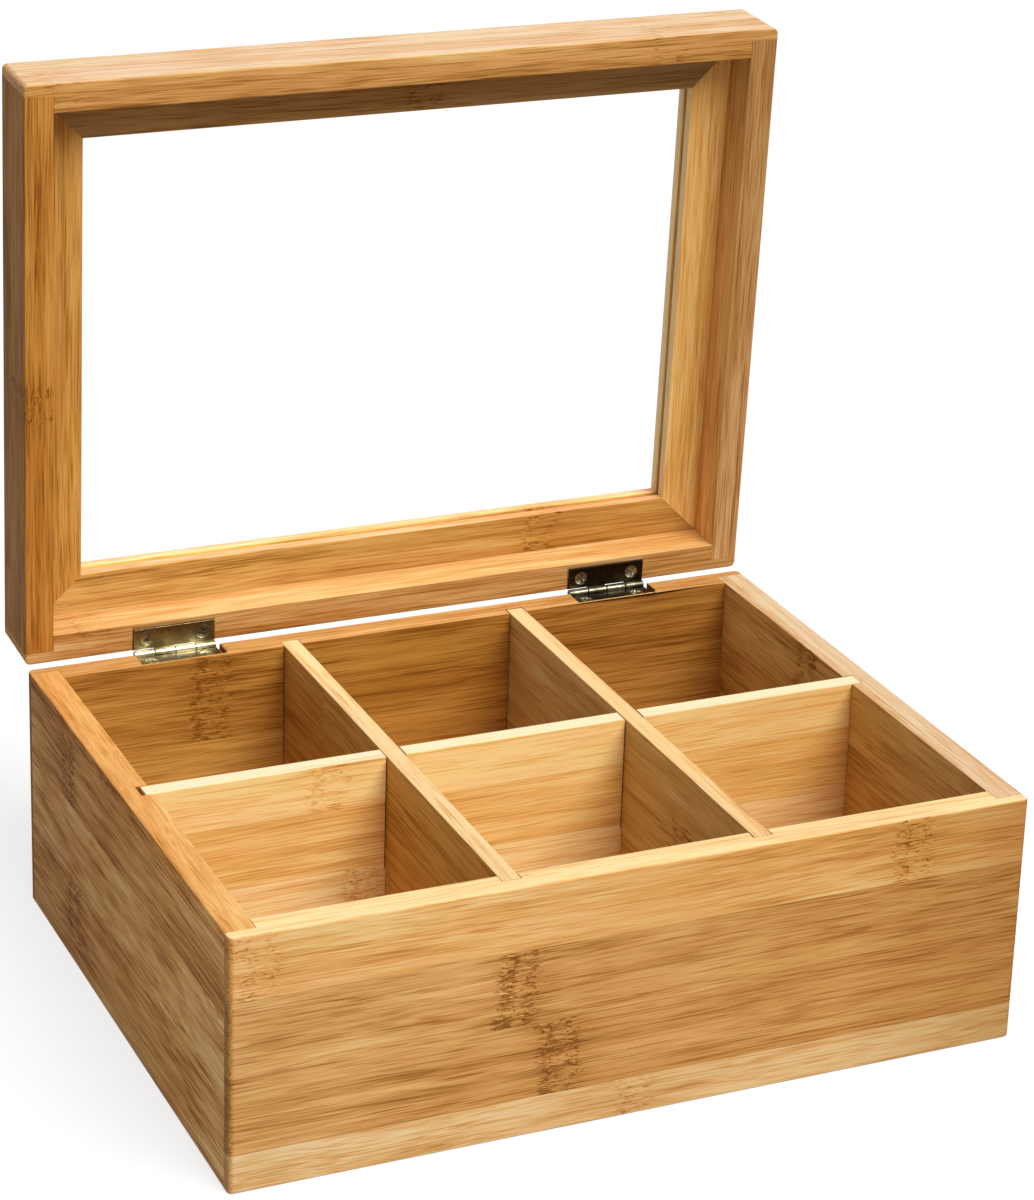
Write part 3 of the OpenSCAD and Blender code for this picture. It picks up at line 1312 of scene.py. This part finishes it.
def turned(radii: np.ndarray, heights: np.ndarray, angle: np.ndarray) -> np.ndarray:
    """Rings of points round the upright axis, as an array of rings by points by three.

    Args:
        radii: Each ring's radius, or each point's.
        heights: Each ring's height, or each point's.
        angle: The angles of a ring's points.

    Returns:
        The points: radius times cosine, radius times sine, and height.
    """
    return np.stack(np.broadcast_arrays(radii * np.cos(angle), radii * np.sin(angle), heights), -1)


def closed_rings(name: str, *shapes: np.ndarray, matrix: Matrix = Matrix.Identity(4)) -> Object:
    """Makes one piece from shapes that are rings of points, each closed by a point at both ends.

    Args:
        name: The piece's name.
        shapes: Arrays of rings by points by three. The first and last ring of each are one point.
        matrix: Brings the points to their place.

    Returns:
        The piece, with its faces looking outwards.
    """
    merge_distance = 1e-7
    sharp_angle = math.radians(40)
    work = bmesh.new()
    for rings in shapes:
        shape = bpy.data.meshes.new(name)
        points = moved(rings.reshape(-1, 3), matrix)
        shape.from_pydata(points.tolist(), [], ring_faces(*rings.shape[:2]).tolist())
        work.from_mesh(shape)
        bpy.data.meshes.remove(shape)
    bmesh.ops.remove_doubles(work, verts=work.verts, dist=merge_distance)
    bmesh.ops.recalc_face_normals(work, faces=work.faces)
    mesh = bpy.data.meshes.new(name)
    work.to_mesh(mesh)
    work.free()
    piece = linked(name, mesh)
    mesh.set_sharp_from_angle(angle=sharp_angle)
    return piece


@dataclass
class Hinge:
    """A butt hinge: two leaves with knuckles, a pin with domed ends, and four screws.

    Args:
        side: left or right, as in the nodes' names.
        slot: The record's slot for the leaves.
        leaf: Finish of the leaves.
        barrel: Finish of the knuckles and the pin.
        screws: Finish of the box's and of the lid's screws.
        turns: How far the cross recesses of each half are turned, in degrees.
        arris: How the leaves' edges are eased.
        recess_depth: Depth of a cross recess in metres, as all sizes that follow.
        recess_length: Length of its arms.
        recess_half: Half their width.
        recess_wall: Width of their slanting walls.
        dome: How far the heads are domed.
        thread_depth: Depth of the thread.
        thread_pitch: Height of one turn of it.
        around: Points in a screw's ring, and twice the number in a pin's.
        dome_rings: Rings of points on each end of a pin.
        screw_rings: Rings on a screw's head, cone, shank and tip.
        crowding: Power that spaces the head's rings, closer towards the rim when under 1.
    """

    side: str
    slot: str
    leaf: MetalFinish
    barrel: MetalFinish
    screws: dict[Part, MetalFinish]
    turns: dict[Part, tuple[float, float]]
    arris: Arris = Arris(outer=0.12 * MM, inner=0.12 * MM, joint=0.1 * MM)
    recess_depth: float = 0.55 * MM
    recess_length: float = 1.25 * MM
    recess_half: float = 0.3 * MM
    recess_wall: float = 0.14 * MM
    dome: float = 0.12 * MM
    thread_depth: float = 0.22 * MM
    thread_pitch: float = 0.9 * MM
    around: int = 96
    dome_rings: int = 7
    screw_rings: tuple[int, int, int, int] = (30, 6, 90, 8)
    crowding: float = 0.9

    def build(self) -> None:
        """Makes the hinge's pieces."""
        leaf, barrel = self.leaf.material(), self.barrel.material()
        for part in Part:
            self._leaf(part, leaf, barrel)
        self._pin(barrel)
        for part in Part:
            self._screws(part, self.screws[part].material())

    def _node(self, part: Part, kind: str) -> str:
        """The name of a node of this hinge on a half of the box."""
        return f"{self.side}_hinge_{'base' if part is Part.BOX else 'lid'}_{kind}"

    def _leaf(self, part: Part, plate: Material, barrel: Material) -> None:
        """A leaf with eased edges, whose knuckles are rubbed brighter than its plate.

        A face is on a knuckle where it lies nearer the pins' line than a pin is wide.

        Args:
            part: The half of the box that it is screwed to.
            plate: The plate's material.
            barrel: The knuckles' material.
        """
        node = self._node(part, "leaf")
        piece = merged_copy(node)
        self.arris.ease(piece, part, [])
        mesh = piece.data
        for material in (plate, barrel):
            mesh.materials.append(material)
        offsets = values_of(mesh.polygons, "center", 3) - np.array(HingeLine.of_the_lid().origin)
        low, high = closed_box(self.side + "_hinge_pin", Part.BOX)
        knuckle = np.hypot(offsets[:, 1], offsets[:, 2]) < (high - low)[2]
        mesh.polygons.foreach_set("material_index", knuckle.astype(np.int32))
        place_piece(piece, part, self.slot, node)

    def _pin(self, barrel: Material) -> None:
        """A pin whose ends are domed: the radius falls along a quarter circle to the tip.

        Args:
            barrel: Its material.
        """
        node = self.side + "_hinge_pin"
        low, high = closed_box(node, Part.BOX)
        radius, length = (high - low)[2] / 2, (high - low)[0]
        sweep = np.linspace(0, math.pi / 2, self.dome_rings)
        rise = radius / 2 * (1 - np.cos(sweep))
        along = np.concatenate([rise, length - rise[::-1]])[:, None]
        radii = radius * np.concatenate([np.sin(sweep), np.sin(sweep[::-1])])[:, None]
        angle = np.linspace(0, 2 * math.pi, self.around // 2, endpoint=False)
        middle = (low + high) / 2
        rings = turned(radii, along, angle)[..., ::-1] + np.array([low[0], middle[1], middle[2]])
        piece = closed_rings(node + "_piece", rings)
        piece.data.materials.append(barrel)
        place_piece(piece, Part.BOX, "pin_steel", node)

    def _screw(self, head: float, length: float, turn: float) -> np.ndarray:
        """A countersunk screw with a cross recess in a slightly domed head.

        Rings run from the middle of the head out to its rim, down the cone, along the shank
        and to the tip. On the head, height is a shallow dome less a cross. The cross is deep
        where the smaller of the two offsets from its arms is under half an arm's width and the
        larger under an arm's length. On the shank, the radius follows a sawtooth that climbs
        one pitch in each turn.

        Args:
            head: Radius of the head in metres.
            length: Length over all.
            turn: How far the recess is turned, in degrees.

        Returns:
            The rings, with the middle of the head at the origin and the tip below it.
        """
        angle = np.linspace(0, 2 * math.pi, self.around, endpoint=False)
        on_head, on_cone, on_shank, on_tip = self.screw_rings
        shank = head / 2
        cone = head - shank
        out = np.linspace(0, 1, on_head)[:, None] ** self.crowding * head
        swung = angle - math.radians(turn)
        a, b = np.abs(out * np.cos(swung)), np.abs(out * np.sin(swung))
        across = np.clip((self.recess_half - np.minimum(a, b)) / self.recess_wall, 0, 1)
        inward = np.clip((self.recess_length - np.maximum(a, b)) / (2 * self.recess_wall), 0, 1)
        top = -self.dome * (out / head) ** 2 - self.recess_depth * across * inward
        down = np.linspace(0, cone, on_cone)[1:, None]
        deep = np.linspace(cone, length - shank, on_shank)[1:, None]
        phase = (deep / self.thread_pitch + angle / (2 * math.pi)) % 1.0
        fade = np.clip((deep - cone) / self.thread_pitch, 0, 1)
        thread = self.thread_depth * fade * np.abs(2 * phase - 1)
        tip = np.linspace(0, 1, on_tip)[1:, None]
        shapes = (
            (out, top),
            (head - down, -self.dome - down),
            (shank - thread, -deep),
            ((shank - self.thread_depth) * (1 - tip), shank - length - shank * tip),
        )
        return np.concatenate([turned(radii, heights, angle) for radii, heights in shapes])

    def _screws(self, part: Part, material: Material) -> None:
        """The two screws of one leaf.

        Args:
            part: The half of the box that they hold the leaf to.
            material: Their material.
        """
        node = self._node(part, "screws")
        low, high = closed_box(node, part)
        head, middle = (high - low)[1] / 2, (low + high)[1] / 2
        sense, face = (1, high[2]) if part is Part.BOX else (-1, low[2])
        screws = []
        for x, turn in zip((low[0] + head, high[0] - head), self.turns[part]):
            rings = self._screw(head, (high - low)[2], turn)
            screws.append(rings * np.array([1, 1, sense]) + np.array([x, middle, face]))
        piece = closed_rings(node + "_piece", *screws, matrix=part.closing().inverted())
        piece.data.materials.append(material)
        place_piece(piece, part, "screw_metal", node)


@dataclass
class TeaBox:
    """The whole box, from its boards to its hinges.

    Args:
        finish: The bamboo.
        ring: The culm's rings.
        rim_arris: How the edges of the walls and the lid are eased.
        divider_arris: How the edges of the dividers and the bottom are eased.
    """

    finish: BambooFinish = field(default_factory=BambooFinish)
    ring: CulmRing = CulmRing()
    rim_arris: Arris = Arris(outer=0.5 * MM, inner=0.25 * MM)
    divider_arris: Arris = Arris(outer=0.3 * MM, inner=0.25 * MM)

    def walls(self) -> Joinery:
        """The four walls.

        Returns:
            Their boards, ready to build.
        """
        boards = (
            Board(
                "front_panel", Grain.WALL_ALONG_X,
                (
                    Strip(10.5, 0.81, rings=((-1.3, 0.5),), drift=0.08, hue=(0.98, 1.01, 1.08)),
                    Strip(20.5, 0.56, rings=((-22.8, 1.0),)),
                    Strip(20.5, 0.63, rings=((-33.4, 1.0),), drift=-0.08),
                    Strip(17.5, 0.78, rings=((-101.0, 0.45), (74.9, 0.8)), hue=(1.04, 0.975, 0.86)),
                ),
                tints=(
                    (0.94, 0.96, 0.99), (0.95, 0.94, 0.9), (0.91, 0.88, 0.82), (0.875, 0.82, 0.72),
                    (0.64, 0.55, 0.41),
                ),
                edge_tints=((1.0, 1.12, 1.27),), edge=0.2, edge_contrast=0.8,
            ),
            Board(
                "rear_panel", Grain.WALL_ALONG_X,
                (
                    Strip(10.0, 0.56), Strip(19.0, 0.6, rings=((38.0, 0.9),)),
                    Strip(14.5, 0.6, rings=((-20.0, 0.9),)), Strip(25.5, 0.42, rings=((-58.5, 0.75),)),
                ),
                tints=(
                    (0.78, 0.72, 0.46), (0.81, 0.77, 0.475), (0.71, 0.61, 0.32), (0.64, 0.56, 0.32),
                    (0.585, 0.5, 0.29),
                ),
                edge_tints=((0.86, 0.82, 0.76),), edge=0.2,
            ),
            Board(
                "left_side_panel", Grain.WALL_ALONG_Y,
                (
                    Strip(7.0, 0.76), Strip(18.0, 0.6, rings=((40.9, 0.9),), drift=0.06),
                    Strip(21.0, 0.82, drift=-0.1), Strip(19.0, 0.6, rings=((45.6, 0.9),)),
                    Strip(4.0, 0.58, drift=-0.12, hue=(1.0, 0.95, 0.82)),
                ),
                tints=(
                    (1.16, 1.16, 1.08), (1.07, 0.98, 0.74), (0.94, 0.82, 0.55), (0.88, 0.76, 0.52),
                    (0.88, 0.8, 0.63),
                ),
                edge_tints=((0.95, 0.87, 0.8),), edge=0.22, contrast=1.5, edge_contrast=0.8,
            ),
            Board(
                "right_side_panel", Grain.WALL_ALONG_Y,
                (
                    Strip(12.0, 0.62), Strip(19.0, 0.66, rings=((-30.0, 0.9),)),
                    Strip(20.0, 0.6), Strip(18.0, 0.66, rings=((-72.5, 0.6), (24.0, 0.9))),
                ),
                tints=((1.01, 1.2, 1.25), (0.97, 1.08, 0.99)),
                edge_tints=((0.83, 0.85, 1.05),), edge=0.3,
            ),
        )
        return Joinery(Part.BOX, "bamboo_walls", self.rim_arris, boards, seed=11.0)

    def floor(self) -> Joinery:
        """The bottom panel.

        Returns:
            Its board, ready to build.
        """
        tones = (0.6, 0.72, 0.58, 0.68, 0.62, 0.74, 0.6, 0.66)
        rings = (20.0, -75.0, -60.0, 80.0, 45.0, -30.0, -15.0, 60.0)
        strips = tuple(Strip(19.0, tone, rings=((place, 0.8),)) for tone, place in zip(tones, rings))
        board = Board("bottom_panel", Grain.FLAT_ALONG_X, strips)
        return Joinery(Part.BOX, "bamboo_floor", self.divider_arris, (board,), seed=37.0)

    def dividers(self) -> Joinery:
        """The three dividers.

        Returns:
            Their boards, ready to build.
        """
        boards = (
            Board(
                "long_divider", Grain.WALL_ALONG_X,
                (
                    Strip(14.0, 0.9), Strip(20.0, 1.05, rings=((-44.0, 0.9),), hue=(1.01, 1.03, 1.17)),
                    Strip(18.0, 0.87, hue=(1.01, 1.03, 1.02)), Strip(13.0, 1.07, rings=((-53.5, 0.6),)),
                ),
                tints=(
                    (1.1, 1.09, 0.9), (1.12, 1.12, 0.92), (1.13, 1.12, 0.92), (1.04, 0.98, 0.75),
                    (0.98, 0.87, 0.63),
                ),
                edge_tints=((0.97, 1.18, 1.5),), edge=0.2, contrast=0.92,
            ),
            Board(
                "left_cross_divider", Grain.WALL_ALONG_Y,
                (
                    Strip(16.0, 0.62), Strip(19.0, 0.68, rings=((22.0, 0.9),)),
                    Strip(18.0, 0.6), Strip(12.0, 0.68),
                ),
                tints=((1.02, 1.18, 0.95), (0.76, 0.8, 0.6)),
                edge_tints=((0.94, 0.94, 0.94),), edge=0.36,
            ),
            Board(
                "right_cross_divider", Grain.WALL_ALONG_Y,
                (
                    Strip(12.0, 0.68), Strip(19.0, 0.62),
                    Strip(19.0, 0.7, rings=((-38.0, 0.6),)), Strip(15.0, 0.64),
                ),
                tints=((0.88, 1.02, 1.0), (0.84, 0.98, 0.98)),
                edge_tints=((0.94, 0.9, 0.84),), edge=0.34,
            ),
        )
        return Joinery(Part.BOX, "bamboo_dividers", self.divider_arris, boards, seed=53.0)

    def lid(self) -> Joinery:
        """The lid's rails and the mitred slats round its window.

        Returns:
            Their boards, ready to build.
        """
        boards = (
            Board(
                "lid_front_rail", Grain.WALL_ALONG_X,
                (Strip(11.0, 0.8, rings=((-98.0, 0.2), (75.0, 0.25))), Strip(9.5, 0.86)),
                tints=((0.9, 0.94, 1.22),),
                edge_tints=((0.97, 0.94, 0.84), (0.98, 0.97, 0.9), (0.93, 0.9, 0.83)), edge=-0.3,
            ),
            Board(
                "lid_rear_rail", Grain.WALL_ALONG_X,
                (Strip(12.0, 0.76, rings=((-90.0, 0.3),)), Strip(8.5, 0.7)),
                tints=(
                    (0.92, 0.89, 0.83), (0.93, 0.88, 0.79), (0.93, 0.92, 0.86), (0.91, 0.85, 0.74),
                    (0.87, 0.77, 0.58),
                ),
                edge_tints=((0.77, 0.69, 0.57), (0.64, 0.56, 0.42)), edge=-0.06, edge_contrast=1.3,
            ),
            Board(
                "lid_left_rail", Grain.WALL_ALONG_Y,
                (Strip(12.5, 0.5, rings=((6.5, 0.5),)), Strip(8.0, 0.46)),
                tints=((0.6, 0.52, 0.33),),
                edge_tints=((0.91, 0.78, 0.49), (0.87, 0.72, 0.41), (0.8, 0.64, 0.34)),
            ),
            Board(
                "lid_right_rail", Grain.WALL_ALONG_Y, (Strip(9.5, 0.6), Strip(11.0, 0.56)),
                tints=((0.95, 0.98, 0.9), (1.15, 1.25, 1.25), (1.15, 1.25, 1.25)),
                edge_tints=((0.68, 0.66, 0.66), (0.78, 0.79, 0.9), (0.82, 0.85, 1.0)), edge=-0.06,
            ),
            Board(
                "window_front_slat", Grain.FLAT_ALONG_X, (Strip(11.5, 0.56, rings=((8.0, 0.4),)),),
                # These tints are painted shade: they darken the slat for the shadow that the front rail
                # casts on it, darkest at its high-x end.
                tints=((0.71, 0.72, 0.7), (0.7, 0.72, 0.7), (0.54, 0.55, 0.54)),
            ),
            Board(
                "window_rear_slat", Grain.FLAT_ALONG_X, (Strip(11.5, 0.62, rings=((50.0, 0.7),)),),
                tints=(
                    (1.0, 1.05, 0.86), (0.98, 1.03, 0.85), (0.92, 0.93, 0.75), (0.82, 0.76, 0.52),
                    (0.81, 0.74, 0.52),
                ),
                edge_tints=((1.0, 0.9, 1.1),), edge=0.1,
            ),
            Board(
                "window_left_slat", Grain.FLAT_ALONG_Y, (Strip(11.5, 0.62),),
                tints=((1.02, 0.96, 0.69), (0.99, 0.97, 0.7), (1.01, 0.98, 0.66), (0.97, 0.9, 0.56)),
                edge=0.15,
            ),
            Board(
                "window_right_slat", Grain.FLAT_ALONG_Y, (Strip(11.5, 0.82),),
                tints=((1.12, 1.08, 0.8),), edge=0.15,
            ),
        )
        return Joinery(Part.LID, "bamboo_lid", self.rim_arris, boards, seed=71.0)

    def hinges(self) -> tuple[Hinge, Hinge]:
        """The worn hinge on the left and the dark one on the right.

        Returns:
            Both hinges, ready to build.
        """
        dull_screw = MetalFinish("dull_screw", (0.12, 0.1, 0.06), (0.4, 0.35, 0.22), wear=0.5)
        bright_screw = MetalFinish(
            "bright_screw", (0.35, 0.32, 0.2), (0.85, 0.82, 0.66), wear=0.6, roughness=(0.15, 0.3)
        )
        steel_screw = MetalFinish(
            "steel_screw", (0.25, 0.22, 0.15), (0.8, 0.76, 0.62), wear=0.5, roughness=(0.14, 0.3)
        )
        return (
            Hinge(
                "left", "worn_brass",
                leaf=MetalFinish("worn_brass", (0.15, 0.12, 0.06), (0.27, 0.225, 0.12), wear=0.55),
                barrel=MetalFinish(
                    "worn_brass_barrel", (0.3, 0.26, 0.15), (0.72, 0.66, 0.46),
                    wear=0.6, roughness=(0.14, 0.3),
                ),
                screws={Part.BOX: bright_screw, Part.LID: dull_screw},
                turns={Part.BOX: (20.0, 55.0), Part.LID: (38.0, 70.0)},
            ),
            Hinge(
                "right", "dark_brass",
                leaf=MetalFinish("dark_brass", (0.03, 0.022, 0.012), (0.07, 0.056, 0.032), wear=0.45),
                barrel=MetalFinish(
                    "dark_brass_barrel", (0.08, 0.075, 0.045), (0.26, 0.25, 0.17),
                    wear=0.45, roughness=(0.16, 0.32),
                ),
                screws={Part.BOX: steel_screw, Part.LID: steel_screw},
                turns={Part.BOX: (62.0, 15.0), Part.LID: (30.0, 48.0)},
            ),
        )

    def dress_window(self) -> None:
        """Gives the pane its glass."""
        pane = frame["nodes"]["window_pane"]
        pane.data.materials.clear()
        pane.data.materials.append(GlassFinish().material())

    def build(self) -> None:
        """Makes and dresses every piece of the box."""
        bamboo = Bamboo.of(self.finish, self.ring)
        walls, floor, dividers, lid = self.walls(), self.floor(), self.dividers(), self.lid()
        case = [board.node for board in walls.boards + floor.boards]
        walls.build(bamboo, case)
        floor.build(bamboo, case)
        dividers.build(bamboo, [])
        lid.build(bamboo, [board.node for board in lid.boards])
        self.dress_window()
        for hinge in self.hinges():
            hinge.build()


# The studio


@dataclass
class Camera:
    """The photograph's camera: where it stands, where it looks and how much it takes in.

    Args:
        place: Its place in metres.
        heading: Degrees from straight back towards the right.
        pitch: Degrees that it looks down.
        roll: Degrees that it leans.
        focal: Focal length in pixels of the photograph.
        rise: Height of the lens axis over the frame's middle, in pixels.
        aside: How far right of the frame's middle the lens axis is, in pixels.
        frame_height: Height of the photograph in pixels.
        sensor: Width of the sensor in millimetres.
        clip: Nearest and farthest distance that it takes in, in metres.
    """

    place: Point = (-0.3562, -0.7839, 0.4652)
    heading: float = 24.24
    pitch: float = 20.19
    roll: float = -1.81
    focal: float = 3573.0
    rise: float = 150.0
    aside: float = -6.0
    frame_height: float = 1200.0
    sensor: float = 36.0
    clip: tuple[float, float] = (0.01, 100.0)

    def build(self) -> None:
        """Makes the camera and sets it as the scene's."""
        data = bpy.data.cameras.new("photo_camera")
        data.sensor_width = self.sensor
        data.lens = self.focal / self.frame_height * self.sensor
        data.shift_x = -self.aside / self.frame_height
        data.shift_y = -self.rise / self.frame_height
        data.clip_start, data.clip_end = self.clip
        turn, drop, lean = (math.radians(angle) for angle in (self.heading, self.pitch, self.roll))
        level = math.cos(drop)
        ahead = Vector((math.sin(turn) * level, math.cos(turn) * level, -math.sin(drop)))
        right = ahead.cross(Vector((0, 0, 1))).normalized()
        up = right.cross(ahead)
        leaning_right = right * math.cos(lean) - up * math.sin(lean)
        leaning_up = up * math.cos(lean) + right * math.sin(lean)
        axes = Matrix((leaning_right, leaning_up, -ahead)).transposed()
        camera = bpy.data.objects.new("photo_camera", data)
        camera.matrix_world = Matrix.Translation(self.place) @ axes.to_4x4()
        bpy.context.scene.collection.objects.link(camera)
        bpy.context.scene.camera = camera


@dataclass
class Lamp:
    """A soft lamp that shines evenly from one side.

    Args:
        name: Its name.
        toward: The way it shines.
        strength: Its strength, where 1 lights a white sheet fully.
        spread: Width of its disc in the sky, in degrees.
    """

    name: str
    toward: Point
    strength: float
    spread: float

    def build(self) -> None:
        """Makes the lamp."""
        data = bpy.data.lights.new(self.name, "SUN")
        data.energy = self.strength * math.pi
        data.angle = math.radians(self.spread)
        lamp = bpy.data.objects.new(self.name, data)
        lamp.rotation_mode = "QUATERNION"
        lamp.rotation_quaternion = Vector(self.toward).to_track_quat("-Z", "Y")
        bpy.context.scene.collection.objects.link(lamp)


@dataclass
class Studio:
    """A white floor and backdrop, a soft lamp and the camera.

    Args:
        ambient: Level of the backdrop's light, where 1 is white.
        bounce: How white the floor is for light that comes from it.
        glow: How much of the floor's white, where it is seen, is its own light.
        floor_half: Half the floor's width in metres.
        floor_drop: How far it lies under the box.
        camera: The camera.
        lamp: The lamp.
    """

    ambient: float = 0.37
    bounce: float = 0.32
    glow: float = 0.75
    floor_half: float = 6.0
    floor_drop: float = 0.1 * MM
    camera: Camera = field(default_factory=Camera)
    lamp: Lamp = field(
        default_factory=lambda: Lamp("key", (-0.28, 0.75, -1.0), strength=1.05, spread=40.0)
    )

    def build(self) -> None:
        """Makes the studio."""
        self.camera.build()
        self.lamp.build()
        self._world()
        self._floor()
        bpy.context.scene.view_settings.view_transform = "Standard"

    def _world(self) -> None:
        """White where it is seen, and a dimmer soft light everywhere else."""
        world = bpy.data.worlds.new("backdrop")
        world.use_nodes = True
        graph = Graph(world.node_tree)
        background = world.node_tree.nodes["Background"]
        background.inputs["Color"].default_value = (*PLAIN, 1.0)
        level = graph.scaled(graph.seen_directly(), 1.0 - self.ambient, self.ambient)
        graph.feed(background.inputs["Strength"], level)
        bpy.context.scene.world = world

    def _floor(self) -> None:
        """A pale floor that keeps the shadow, and is near white where it is seen."""
        corners = np.array([(-1, -1, 0), (1, -1, 0), (1, 1, 0), (-1, 1, 0)])
        points = corners * self.floor_half - np.array([0, 0, self.floor_drop])
        floor = new_piece("floor", points, np.array([[0, 1, 2, 3]]))
        material, graph, shader = new_material("floor_paper")
        seen = graph.seen_directly()
        grey = graph.scaled(seen, 1.0 - self.bounce, self.bounce)
        graph.feed(shader.inputs["Base Color"], graph.join(grey, grey, grey))
        shader.inputs["Roughness"].default_value = 1.0
        shader.inputs["Specular IOR Level"].default_value = 0.0
        graph.surface(graph.scaled(seen, self.glow), shader, graph.add("Emission"))
        floor.data.materials.append(material)


def main() -> None:
    """Builds the box and the studio."""
    logging.basicConfig(level=logging.INFO, format="%(name)s %(message)s")
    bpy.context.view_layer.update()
    TeaBox().build()
    Studio().build()


if __name__ == "__main__":
    main()
